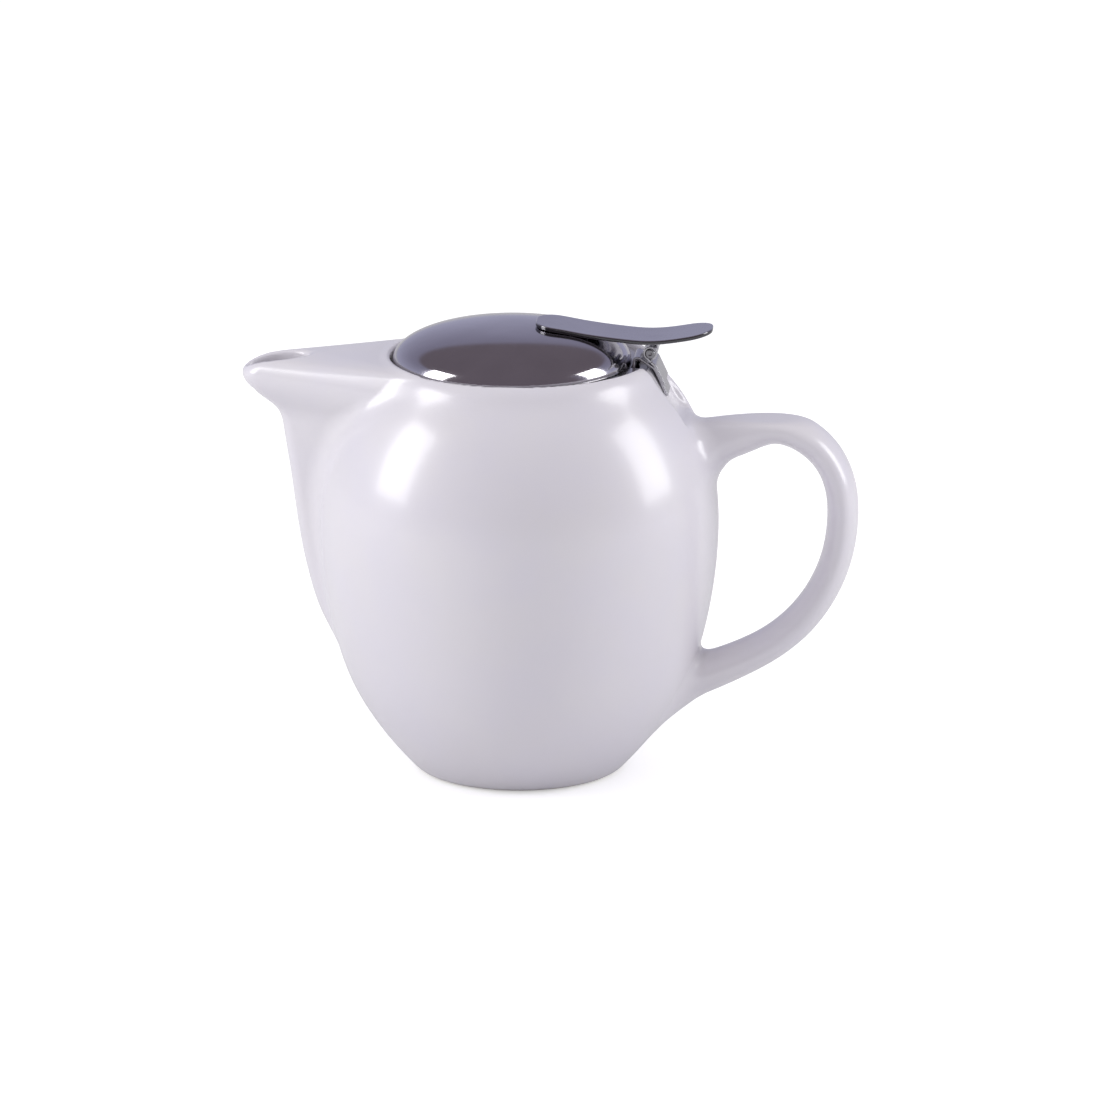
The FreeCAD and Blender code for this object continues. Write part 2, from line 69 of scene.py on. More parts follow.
# ---- ceramic outlines: X or radius, then Z -----------------------------------------------------------
BODY_OUTSIDE = [(28.9, 1.4), (33.9, 7.0), (39.2, 14.0), (45.0, 24.0), (49.7, 38.0), (52.3, 52.0),
                (53.35, 66.0), (52.4, 80.0), (48.5, 93.0), (42.9, 103.0), (38.4, 109.0), (37.0, 111.5)]
BODY_INSIDE = [(22.0, 6.0), (28.5, 9.4), (34.4, 15.5), (40.2, 25.0), (45.0, 38.0), (47.7, 52.0), (48.8, 66.0),
               (47.7, 79.0), (44.0, 90.5), (38.6, 100.2), (31.9, 106.5)]
CHANNEL_FLOOR = [(43.4, 97.2), (39.6, 102.8), (36.5, 109.4), (35.2, 111.2)]
HANDLE = [(44.0, 88.6, 7.4, 8.2), (52.5, 91.0, 6.2, 8.2), (60.0, 93.3, 5.5, 8.2), (68.0, 95.0, 4.5, 8.2),
          (76.0, 92.6, 4.3, 8.2), (82.5, 86.6, 4.2, 8.2), (86.0, 78.0, 4.15, 8.2), (86.5, 69.5, 4.15, 8.2),
          (85.0, 59.5, 4.15, 8.2), (81.2, 50.0, 4.2, 8.2), (75.2, 41.6, 4.3, 8.1), (67.3, 34.9, 4.4, 8.0),
          (58.3, 30.0, 4.7, 7.9), (50.5, 26.8, 5.3, 7.8), (43.5, 24.8, 6.3, 7.8)]
SPOUT_ROOT_X = -28.0
SPOUT = [(34.0, -47.2, 3.8, 8.5), (40.0, -52.2, 3.8, 9.0), (50.0, -56.2, 4.0, 10.0),
         (65.0, -59.3, 4.4, 12.0), (80.0, -61.3, 4.9, 15.5), (92.0, -63.1, 5.8, 20.0),
         (97.5, -64.7, 6.4, 23.0), (100.3, -67.8, 6.8, 24.5), (103.0, -71.4, 7.2, 25.4),
         (105.5, -73.6, 7.5, 25.5), (108.0, -74.1, 7.6, 25.2), (110.0, -72.6, 7.4, 24.3),
         (111.8, -68.4, 6.8, 23.4), (112.8, -62.0, 6.2, 22.2)]
LEVER_TOP = [(4.6, 122.95), (10.8, 122.3), (16.0, 121.4), (21.4, 120.6), (28.0, 119.85), (34.7, 119.45),
             (40.0, 119.85), (45.5, 120.75), (51.6, 121.85)]
CLIP_CORNERS = [(30.85, 104.6), (30.85, 114.9), (36.38, 111.2), (39.8, 103.9)]

RIM_Z = 113.3
MOUTH_R = 34.3
SEAT_Z = 110.6
NECK_R = 31.9
FLOOR_Z = 6.0
CHANNEL_HALF_W = 9.75
CHANNEL_END_Z = 97.2
LID_X, LID_Z, LID_R, LID_H = -1.9, 111.5, 31.9, 10.4
SPOUT_WALL = 3.3
SPOUT_VOID = (52.0, 108.4)     # lowest and highest Z of the passage in the spout
WEB_X, WEB_Z = -41.0, 99.5     # above WEB_Z the wall between the mouth and the spout stays whole
POUR_X, POUR_HALF_L, POUR_HALF_W, POUR_FROM_Z = -64.4, 8.0, 4.7, 103.5
FOOT_RECESS_R, FOOT_RECESS = 21.8, 2.2
LEAF_FOOT_Z, LEAF_TOP_Z = 107.2, 112.3
LEVER_T = 1.1
LEVER_WELD_GAP = 0.02
COLLAR_R, COLLAR_T, COLLAR_BOTTOM_Z = 29.3, 0.4, 104.5
FLANGE_R, FLANGE_T = 34.0, 0.8
NOTCH_X, NOTCH_HALF_W = 30.15, 5.5
BASKET_BOTTOM_Z, CUP_TOP_Z = 46.0, 53.0
WEAVE = 0.6                    # share of the wire's radius by which it waves out of its plane
SHEET = 0.7
PIN_R = 1.15
ROLL_IN_R, ROLL_OUT_R = 1.2, 1.9
ROLL_MID_R = (ROLL_IN_R + ROLL_OUT_R) / 2
HINGE_HALF_W, LEVER_ROLL_HALF_W, CLIP_HALF_W = 6.5, 3.4, 5.0


# ---- settings ----------------------------------------------------------------------------------------
def size_prop(name, description, default, low, high):
    return bpy.props.FloatProperty(name=name, description=description, default=default, min=low, max=high,
                                   subtype="DISTANCE", unit="LENGTH", precision=5)


def colour_prop(name, description, default):
    return bpy.props.FloatVectorProperty(name=name, description=description, default=default, size=3,
                                         min=0.0, max=1.0, subtype="COLOR")


def share_prop(name, description, default, low=0.0, high=1.0):
    return bpy.props.FloatProperty(name=name, description=description, default=default, min=low, max=high,
                                   subtype="FACTOR")


def angle_prop(name, description, degrees):
    return bpy.props.FloatProperty(name=name, description=description, default=math.radians(degrees),
                                   subtype="ANGLE", unit="ROTATION")


class CeramicSettings(bpy.types.PropertyGroup):
    glaze: colour_prop("Glaze", "Colour of the glaze", (0.79, 0.765, 0.81))
    biscuit: colour_prop("Biscuit", "Colour of the bare fired clay under the foot", (0.62, 0.57, 0.50))
    gloss: share_prop("Gloss roughness", "Roughness of the glaze's surface", 0.30)
    grid: size_prop("Grid", "Spacing of the grid that the ceramic's skin is drawn on", 0.0008, 0.0005, 0.003)
    spout_blend: size_prop("Spout blend", "How softly the spout runs into the body", 0.005, 0.001, 0.02)


class SteelSettings(bpy.types.PropertyGroup):
    lid: colour_prop("Lid", "Colour of the polished lid", (0.66, 0.645, 0.68))
    strip: colour_prop("Strip", "Colour of the lever, the clip and the hinge", (0.64, 0.635, 0.67))
    infuser: colour_prop("Infuser", "Colour of the infuser's stamped parts", (0.60, 0.595, 0.60))
    polish: share_prop("Polish roughness", "Roughness of the polished lid", 0.07)


class MeshSettings(bpy.types.PropertyGroup):
    pitch: size_prop("Wire pitch", "Spacing of the woven wires", 0.00115, 0.0005, 0.004)
    wire: size_prop("Wire diameter", "Diameter of the woven wires", 0.00032, 0.0001, 0.001)


class StageSettings(bpy.types.PropertyGroup):
    floor: colour_prop("Floor", "Colour of the floor", (0.78, 0.78, 0.79))
    azimuth: angle_prop("Camera azimuth", "Angle of the camera round the pot", 4.5)
    elevation: angle_prop("Camera elevation", "Angle of the camera above the floor", 15.3)
    distance: size_prop("Camera distance", "Distance from the camera to the pot's middle", 1.8, 0.3, 10.0)


# ---- curves and fields -------------------------------------------------------------------------------
def smooth_line(points, steps=24):
    """Points along a natural cubic spline through the given ones; any columns after two go along."""
    p = np.array(points, float)
    t = np.concatenate([[0.0], np.cumsum(np.hypot(*np.diff(p[:, :2], axis=0).T))])
    count, h = len(t), np.diff(t)
    left, right = np.eye(count), np.zeros_like(p)
    for i in range(1, count - 1):
        left[i, i - 1:i + 2] = h[i - 1], 2 * (h[i - 1] + h[i]), h[i]
        right[i] = 6 * ((p[i + 1] - p[i]) / h[i] - (p[i] - p[i - 1]) / h[i - 1])
    bend = np.linalg.solve(left, right)
    out = []
    for i in range(count - 1):
        s = np.linspace(0, h[i], steps, endpoint=False)[:, None]
        r = h[i] - s
        out.append((bend[i] * r ** 3 + bend[i + 1] * s ** 3) / (6 * h[i])
                   + (p[i] / h[i] - bend[i] * h[i] / 6) * r + (p[i + 1] / h[i] - bend[i + 1] * h[i] / 6) * s)
    return np.vstack(out + [p[-1:]])


def soft_min(a, b, k):
    h = np.maximum(k - np.abs(a - b), 0.0) / k
    return np.minimum(a, b) - h * h * k * 0.25


def soft_max(a, b, k):
    return -soft_min(-a, -b, k)


def level_table(points, low, high):
    """Heights, values and slopes of a line given as value, Z, carried on straight to low and high."""
    line = smooth_line(points)
    value, z = line[:, 0], line[:, 1]
    order = np.argsort(z)
    value, z = value[order], z[order]
    first = value[0] + (value[1] - value[0]) / (z[1] - z[0]) * (low - z[0])
    last = value[-1] + (value[-1] - value[-2]) / (z[-1] - z[-2]) * (high - z[-1])
    z = np.concatenate([[low], z, [high]])
    value = np.concatenate([[first], value, [last]])
    return z, value, np.gradient(value, z)


def wall_field(table, reach, z):
    """Distance of points at that reach from a wall whose reach at each height is in the table."""
    slope = np.interp(z, table[0], table[2])
    return (reach - np.interp(z, table[0], table[1])) / np.sqrt(1 + slope * slope)


FAR = 60.0
OUTSIDE_TABLE = level_table(BODY_OUTSIDE, -4.0, 122.0)
INSIDE_TABLE = level_table(BODY_INSIDE + [(NECK_R, 108.0)], -4.0, 122.0)
CHANNEL_TABLE = level_table(CHANNEL_FLOOR, 90.0, 122.0)
HANDLE_LINE = smooth_line(HANDLE, 28)
ABOVE_SPOUT = tuple(a + 2.2 * (a - b) for a, b in zip(SPOUT[-1], SPOUT[-2]))
SPOUT_LINE = smooth_line([(x, z, r, w) for z, x, r, w in SPOUT + [ABOVE_SPOUT]], 20)


def handle_field(x, y, z):
    """Distance from the oval loop of the handle."""
    line = HANDLE_LINE
    along = np.gradient(line[:, :2], axis=0)
    step = np.hypot(along[:, 0], along[:, 1])
    along = along / step[:, None]
    pairs, back = np.unique(x + 1j * z, return_inverse=True)
    dx, dz = pairs.real[:, None] - line[:, 0], pairs.imag[:, None] - line[:, 1]
    near = np.argmin(dx * dx + dz * dz, axis=1)
    rows = np.arange(len(pairs))
    dx, dz, tangent = dx[rows, near], dz[rows, near], along[near]
    shift = np.clip((dx * tangent[:, 0] + dz * tangent[:, 1]) / step[near], -1, 1)
    at = near + shift
    index = np.arange(len(line))
    half_t, half_w = np.interp(at, index, line[:, 2]), np.interp(at, index, line[:, 3])
    off = dz * tangent[:, 0] - dx * tangent[:, 1]
    off, half_t, half_w = off[back], half_t[back], half_w[back]
    ring = np.sqrt((off / half_t) ** 2 + (y / half_w) ** 2) + 1e-9
    steep = np.sqrt((off / half_t ** 2) ** 2 + (y / half_w ** 2) ** 2) / ring + 1e-3
    return np.maximum((ring - 1) / steep, -half_t)


def spout_raw(x, y, z):
    level = np.clip(z, SPOUT[0][0], ABOVE_SPOUT[0])
    front, radius, half_w = (np.interp(level, SPOUT_LINE[:, 1], SPOUT_LINE[:, c]) for c in (0, 2, 3))
    middle = front + radius
    reach = SPOUT_ROOT_X - middle
    lean = np.arctan2(half_w, reach) + np.arccos(np.clip(radius / np.hypot(reach, half_w), -1, 1))
    u, v = x - middle, np.abs(y)
    across = u * np.cos(lean) + v * np.sin(lean)
    along = u * np.sin(lean) - v * np.cos(lean)
    return np.where(along > 0, across, np.hypot(u, v)) - radius


def spout_field(x, y, z):
    """Distance from the spout's side, evened out so that it counts the same everywhere."""
    e = 0.2
    raw = spout_raw(x, y, z)
    gx = (spout_raw(x + e, y, z) - spout_raw(x - e, y, z)) / (2 * e)
    gy = (spout_raw(x, y + e, z) - spout_raw(x, y - e, z)) / (2 * e)
    gz = (spout_raw(x, y, z + e) - spout_raw(x, y, z - e)) / (2 * e)
    return raw / np.sqrt(np.maximum(gx * gx + gy * gy + gz * gz, 0.25))


def body_field(r, z):
    side = wall_field(OUTSIDE_TABLE, r, z)
    return soft_max(side, z - RIM_Z - 0.7, 4.2)


def hollow_field(r, z):
    """The inside of the pot, up through the neck and the wider mouth above the ledge."""
    belly = soft_max(wall_field(INSIDE_TABLE, r, np.minimum(z, 107.0)), FLOOR_Z - z, 4.0)
    mouth = soft_max(r - MOUTH_R, SEAT_Z - z, 0.4)
    return soft_min(belly, mouth, 0.3)


def channel_field(x, y, z):
    slope = wall_field(CHANNEL_TABLE, x, np.minimum(z, 112.0))
    crest = soft_max(111.2 - z, 32.8 - x, 0.8)
    floor = soft_min(-slope, crest, 0.8)
    return soft_max(soft_max(np.abs(y) - CHANNEL_HALF_W, CHANNEL_END_Z - z, 2.0), floor, 2.2)


def ceramic_field(x, y, z, spout_blend):
    """Negative inside the one fired piece of body, spout and handle."""
    r = np.hypot(x, y)
    solid = body_field(r, z)
    part = x > 24.0
    loop = np.full_like(x, FAR)
    loop[part] = handle_field(x[part], y[part], z[part])
    blend = np.interp(z, [16, 25, 36, 60, 84, 93, 97], [9.0, 6.0, 3.0, 5.0, 9.0, 6.0, 2.5])
    solid = soft_min(solid, loop, blend)
    part = (x < -24.0) & (z > 26.0)
    side = np.full_like(x, FAR)
    side[part] = spout_field(x[part], y[part], z[part])
    beak = soft_max(soft_max(side, z - SPOUT[-1][0] - 0.1, 2.0), SPOUT[0][0] - z, 3.0)
    solid = soft_min(solid, beak, np.interp(z, [98.0, 111.0], [spout_blend, 0.35 * spout_blend]))
    solid = soft_max(solid, -z, 1.6)
    solid = soft_max(solid, -channel_field(x, y, z), 1.6)
    solid = soft_max(solid, -hollow_field(r, z), 1.3)
    passage = soft_max(soft_max(side + SPOUT_WALL, z - SPOUT_VOID[1], 2.0), SPOUT_VOID[0] - z, 3.0)
    passage = soft_max(passage, np.minimum(x - WEB_X, z - WEB_Z), 2.0)
    pour = (np.hypot((x - POUR_X) / POUR_HALF_L, y / POUR_HALF_W) - 1) * 5.2
    pour = soft_max(pour, POUR_FROM_Z - z, 1.5)
    solid = soft_max(solid, -soft_min(passage, pour, 1.5), 1.7)
    foot = soft_max(r - FOOT_RECESS_R + 0.36 * z, z - FOOT_RECESS, 1.0)
    return soft_max(solid, -foot, 0.9)


def graded(*spans):
    """Grid lines from spans of start, end and spacing."""
    lines = []
    for start, end, spacing in spans:
        count = max(1, int(round((end - start) / spacing)))
        lines.extend(np.linspace(start, end, count, endpoint=False))
    return np.array(lines + [spans[-1][1]])


EDGES = [((0, 0, 0), 0), ((0, 1, 0), 0), ((0, 0, 1), 0), ((0, 1, 1), 0),
         ((0, 0, 0), 1), ((1, 0, 0), 1), ((0, 0, 1), 1), ((1, 0, 1), 1),
         ((0, 0, 0), 2), ((1, 0, 0), 2), ((0, 1, 0), 2), ((1, 1, 0), 2)]


def net(values, axes):
    """Points and four-sided faces of the level zero of values on a grid, one point to a cell."""
    low = values < 0
    count = sum(low[i:low.shape[0] - 1 + i, j:low.shape[1] - 1 + j, k:low.shape[2] - 1 + k].astype(np.int8)
                for i in (0, 1) for j in (0, 1) for k in (0, 1))
    cells = np.argwhere((count > 0) & (count < 8))
    number = np.full(count.shape, -1)
    number[tuple(cells.T)] = np.arange(len(cells))
    total, weight = np.zeros((len(cells), 3)), np.zeros(len(cells))
    for corner, axis in EDGES:
        a = cells + corner
        b = a.copy()
        b[:, axis] += 1
        fa, fb = values[tuple(a.T)], values[tuple(b.T)]
        cross = (fa < 0) != (fb < 0)
        t = np.where(cross, fa / np.where(fa == fb, 1, fa - fb), 0)
        pa = np.stack([axes[c][a[:, c]] for c in range(3)], 1)
        pb = np.stack([axes[c][b[:, c]] for c in range(3)], 1)
        total += np.where(cross[:, None], pa + t[:, None] * (pb - pa), 0)
        weight += cross
    points = total / weight[:, None]
    faces = []
    for axis in range(3):
        u, v = (axis + 1) % 3, (axis + 2) % 3
        head = [slice(None)] * 3
        tail = [slice(None)] * 3
        head[axis], tail[axis] = slice(0, -1), slice(1, None)
        change = np.argwhere(low[tuple(head)] != low[tuple(tail)])
        inner = np.all([(change[:, c] > 0) & (change[:, c] < values.shape[c] - 1) for c in (u, v)], axis=0)
        change = change[inner]
        corners = []
        for du, dv in ((-1, -1), (0, -1), (0, 0), (-1, 0)):
            cell = change.copy()
            cell[:, u] += du
            cell[:, v] += dv
            corners.append(number[tuple(cell.T)])
        quad = np.stack(corners, 1)
        flip = ~low[tuple(change.T)]
        quad[flip] = quad[flip][:, ::-1]
        faces.append(quad)
    return points, np.vstack(faces)


def slope_of(field, p, e=0.05):
    """Gradient of a field at points."""
    out = np.empty_like(p)
    for axis in range(3):
        step = np.zeros(3)
        step[axis] = e
        out[:, axis] = (field(*(p + step).T) - field(*(p - step).T)) / (2 * e)
    return out


def settle(field, p, rounds):
    """Moves points onto the level zero of a field."""
    for _ in range(rounds):
        g = slope_of(field, p)
        size = np.maximum((g * g).sum(1), 0.2)
        move = -field(*p.T)[:, None] * g / size[:, None]
        p = p + np.clip(move, -0.5, 0.5)
    return p


def even_out(p, faces, share=0.5):
    """Moves each point towards the middle of its neighbours."""
    total, weight = np.zeros_like(p), np.zeros(len(p))
    for a, b in ((0, 1), (1, 2), (2, 3), (3, 0)):
        for one, two in ((a, b), (b, a)):
            for axis in range(3):
                total[:, axis] += np.bincount(faces[:, one], p[faces[:, two], axis], len(p))
            weight += np.bincount(faces[:, one], minlength=len(p))
    return p + share * (total / np.maximum(weight, 1)[:, None] - p)


# ---- making objects ----------------------------------------------------------------------------------
def new_piece(name, points, faces, body, slot_name, replaced, material, normals=None):
    """Mesh object from points in millimetres, set on its body and given its material; slot_name is not used."""
    mesh = bpy.data.meshes.new(name)
    mesh.from_pydata((np.asarray(points, float) * MM).tolist(), [], [list(map(int, f)) for f in faces])
    mesh.validate()
    mesh.shade_smooth()
    if normals is not None:
        mesh.normals_split_custom_set_from_vertices(normals.tolist())
    mesh.materials.append(material)
    piece = bpy.data.objects.new(name, mesh)
    bpy.context.scene.collection.objects.link(piece)
    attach(piece, body)
    if replaced:
        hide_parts(*replaced)
    return piece


def weight_normals(piece):
    """Keeps flat faces flat beside their rounded edges."""
    modifier = piece.modifiers.new("Flat faces", "WEIGHTED_NORMAL")
    modifier.mode = "FACE_AREA"
    modifier.weight = 80


def rounded_outline(points, radius, steps=5, closed=True):
    """Outline with each corner turned into an arc; radius is one number or one for each corner."""
    pts = [np.array(q, float) for q in points]
    count = len(pts)
    radii = [radius] * count if np.isscalar(radius) else list(radius)
    out = []
    for i, corner in enumerate(pts):
        if (not closed and i in (0, count - 1)) or radii[i] <= 0:
            out.append(corner)
            continue
        before, after = pts[i - 1], pts[(i + 1) % count]
        a, b = before - corner, after - corner
        room = min(np.linalg.norm(a), np.linalg.norm(b)) / 2
        a, b = a / np.linalg.norm(a), b / np.linalg.norm(b)
        angle = math.acos(max(-1, min(1, float(a @ b))))
        if angle > math.pi - 0.03:
            out.append(corner)
            continue
        cut = min(radii[i] / math.tan(angle / 2), room * 0.98)
        r = cut * math.tan(angle / 2)
        middle = corner + (a + b) / np.linalg.norm(a + b) * (r / math.sin(angle / 2))
        start, end = corner + a * cut, corner + b * cut
        a0 = math.atan2(*(start - middle)[::-1])
        turn = math.atan2(*(end - middle)[::-1]) - a0
        turn = (turn + math.pi) % (2 * math.pi) - math.pi
        for s in range(steps + 1):
            t = a0 + turn * s / steps
            out.append(middle + r * np.array([math.cos(t), math.sin(t)]))
    return np.array(out)


def turned(outline, steps, centre=(0.0, 0.0), reach=None):
    """Points and faces of an outline of radius, Z turned about Z; ends on the axis become poles."""
    outline = np.asarray(outline, float)
    angles = np.linspace(0, 2 * math.pi, steps, endpoint=False)
    if outline[0, 0] == 0:
        ends, outline = outline[[0, -1]], outline[1:-1]
    else:
        ends = None
    count = len(outline)
    points = np.empty((steps, count, 3))
    for s, a in enumerate(angles):
        r = outline[:, 0] if reach is None else reach(outline[:, 0], a)
        points[s, :, 0] = centre[0] + r * math.cos(a)
        points[s, :, 1] = centre[1] + r * math.sin(a)
        points[s, :, 2] = outline[:, 1]
    index = np.arange(steps * count).reshape(steps, count)
    ahead, across = np.roll(index, -1, 0), np.roll(index, -1, 1)
    both = np.roll(ahead, -1, 1)
    faces = np.stack([index, ahead, both, across], -1)
    points = points.reshape(-1, 3)
    if ends is None:
        return points, outwards(points, faces.reshape(-1, 4))
    first, last = len(points), len(points) + 1
    points = np.vstack([points, [(centre[0], centre[1], z) for z in ends[:, 1]]])
    faces = list(faces[:, :-1].reshape(-1, 4))
    for s in range(steps):
        after = (s + 1) % steps
        faces.append([index[s, 0], first, first, index[after, 0]])
        faces.append([index[s, -1], index[after, -1], last, last])
    faces = outwards(points, np.array(faces))
    return points, [list(dict.fromkeys(f)) for f in faces.tolist()]


def outwards(points, faces):
    """Turns all faces over if the closed skin that they make is inside out."""
    a, b, c = (points[faces[:, i]] for i in (0, 1, 2))
    d = points[faces[:, 3]]
    volume = (np.einsum("ij,ij->i", a, np.cross(b, c)) + np.einsum("ij,ij->i", a, np.cross(c, d))).sum()
    return faces[:, ::-1] if volume < 0 else faces


def between(index):
    """Four-sided faces between neighbouring rows of closed rings."""
    low, high = index[:-1], index[1:]
    return np.stack([low, high, np.roll(high, -1, 1), np.roll(low, -1, 1)], -1).reshape(-1, 4)


def swept(path, half_w, thickness, edge, offset=0.0):
    """Points and faces of a strip along a path of X, Z, with rounded long edges and closed ends."""
    path = np.asarray(path, float)
    along = np.gradient(path, axis=0)
    along /= np.hypot(along[:, 0], along[:, 1])[:, None]
    normal = np.stack([-along[:, 1], along[:, 0]], 1)
    t = thickness / 2
    ring = rounded_outline([(-half_w, -t), (half_w, -t), (half_w, t), (-half_w, t)], edge, 3)
    closing = [(0, 0.0, edge * 0.6), (0, edge * 0.45, 0.0), (-1, -edge * 0.45, 0.0), (-1, 0.0, edge * 0.6)]
    ends = [(path[i] + along[i] * ahead, normal[i], less) for i, ahead, less in closing]
    rows = ends[:2] + [(path[i], normal[i], 0.0) for i in range(1, len(path) - 1)] + ends[2:]
    points = []
    for at, n, less in rows:
        fit = np.array([1 - less / half_w, 1 - less / t])
        for y, h in ring * fit:
            points.append((at[0] + n[0] * h, y + offset, at[1] + n[1] * h))
    points = np.array(points)
    index = np.arange(len(points)).reshape(-1, len(ring))
    side = between(index)
    faces = [list(f) for f in outwards(points, side)]
    flipped = faces[0][0] != side[0, 0]
    caps = [list(index[0]), list(index[-1][::-1])]
    faces += [cap[::-1] for cap in caps] if flipped else caps
    return points, faces


def joined(*meshes):
    """Several sets of points and faces as one."""
    points, faces, base = [], [], 0
    for p, f in meshes:
        points.append(np.asarray(p))
        faces += [[int(v) + base for v in face] for face in f]
        base += len(p)
    return np.vstack(points), faces


# ---- node groups and materials -----------------------------------------------------------------------
def group_tree(name, inputs, outputs):
    """New shader node group with float or vector sockets; returns the tree and its two end nodes."""
    tree = bpy.data.node_groups.new(name, "ShaderNodeTree")
    for label, kind, default in inputs:
        item = tree.interface.new_socket(name=label, in_out="INPUT", socket_type=kind)
        if default is not None:
            item.default_value = default
    for label, kind in outputs:
        tree.interface.new_socket(name=label, in_out="OUTPUT", socket_type=kind)
    return tree, tree.nodes.new("NodeGroupInput"), tree.nodes.new("NodeGroupOutput")


def node(tree, kind, values=(), **settings):
    """Adds a node, with attribute settings, and input values by name or number."""
    made = tree.nodes.new(kind)
    for key, value in settings.items():
        setattr(made, key, value)
    for key, value in dict(values).items():
        made.inputs[key].default_value = value
    return made


def cloud_group():
    """Slow and fine cloudiness of a surface, as two masks and a height."""
    if "Cloud" in bpy.data.node_groups:
        return bpy.data.node_groups["Cloud"]
    tree, start, end = group_tree(
        "Cloud", [("Slow scale", "NodeSocketFloat", 60.0), ("Fine scale", "NodeSocketFloat", 900.0)],
        [("Slow", "NodeSocketFloat"), ("Fine", "NodeSocketFloat"), ("Height", "NodeSocketFloat")])
    link = tree.links.new
    place = node(tree, "ShaderNodeTexCoord")
    slow = node(tree, "ShaderNodeTexNoise", {"Detail": 3.0, "Roughness": 0.55})
    fine = node(tree, "ShaderNodeTexNoise", {"Detail": 5.0, "Roughness": 0.6})
    for noise, scale in ((slow, "Slow scale"), (fine, "Fine scale")):
        link(place.outputs["Object"], noise.inputs["Vector"])
        link(start.outputs[scale], noise.inputs["Scale"])
    mix = node(tree, "ShaderNodeMath", {1: 0.35}, operation="MULTIPLY_ADD")
    link(fine.outputs["Fac"], mix.inputs[0])
    link(slow.outputs["Fac"], mix.inputs[2])
    link(slow.outputs["Fac"], end.inputs["Slow"])
    link(fine.outputs["Fac"], end.inputs["Fine"])
    link(mix.outputs[0], end.inputs["Height"])
    return tree


def scratch_group():
    """Fine lines that run one way, as left by a polishing wheel."""
    if "Scratches" in bpy.data.node_groups:
        return bpy.data.node_groups["Scratches"]
    tree, start, end = group_tree(
        "Scratches", [("Stretch", "NodeSocketVector", (1.0, 1.0, 1.0)), ("Scale", "NodeSocketFloat", 1200.0)],
        [("Lines", "NodeSocketFloat"), ("Mask", "NodeSocketFloat")])
    link = tree.links.new
    place = node(tree, "ShaderNodeTexCoord")
    scale = node(tree, "ShaderNodeVectorMath", operation="MULTIPLY")
    link(place.outputs["Object"], scale.inputs[0])
    link(start.outputs["Stretch"], scale.inputs[1])
    lines = node(tree, "ShaderNodeTexNoise", {"Detail": 3.0, "Roughness": 0.7})
    link(scale.outputs[0], lines.inputs["Vector"])
    link(start.outputs["Scale"], lines.inputs["Scale"])
    ramp = node(tree, "ShaderNodeMapRange", {"From Min": 0.35, "From Max": 0.65})
    link(lines.outputs["Fac"], ramp.inputs["Value"])
    link(lines.outputs["Fac"], end.inputs["Lines"])
    link(ramp.outputs["Result"], end.inputs["Mask"])
    return tree


def use_group(tree, group, values=()):
    made = node(tree, "ShaderNodeGroup")
    made.node_tree = group
    for key, value in dict(values).items():
        made.inputs[key].default_value = value
    return made


def new_material(name, **shader_values):
    """Material with a Principled BSDF; values are set on its own sockets."""
    material = bpy.data.materials.new(name)
    material.use_nodes = True
    tree = material.node_tree
    shader = tree.nodes["Principled BSDF"]
    for key, value in shader_values.items():
        shader.inputs[key.replace("_", " ")].default_value = value
    return material, tree, shader


def ranged(tree, source, low, high, from_low=0.0, from_high=1.0):
    """A value moved from one range to another, smoothly clamped."""
    made = node(tree, "ShaderNodeMapRange", {"From Min": from_low, "From Max": from_high, "To Min": low,
                                             "To Max": high})
    tree.links.new(source, made.inputs["Value"])
    return made.outputs["Result"]


def mixed(tree, factor, first, second):
    """Colour mix; first and second are colours or sockets."""
    made = node(tree, "ShaderNodeMix", data_type="RGBA")
    tree.links.new(factor, made.inputs["Factor"])
    for socket, value in ((made.inputs[6], first), (made.inputs[7], second)):
        if isinstance(value, bpy.types.NodeSocket):
            tree.links.new(value, socket)
        else:
            socket.default_value = (*value, 1.0)
    return made.outputs[2]


def bumped(tree, shader, height, strength, distance):
    bump = node(tree, "ShaderNodeBump", {"Strength": strength, "Distance": distance})
    tree.links.new(height, bump.inputs["Height"])
    tree.links.new(bump.outputs["Normal"], shader.inputs["Normal"])


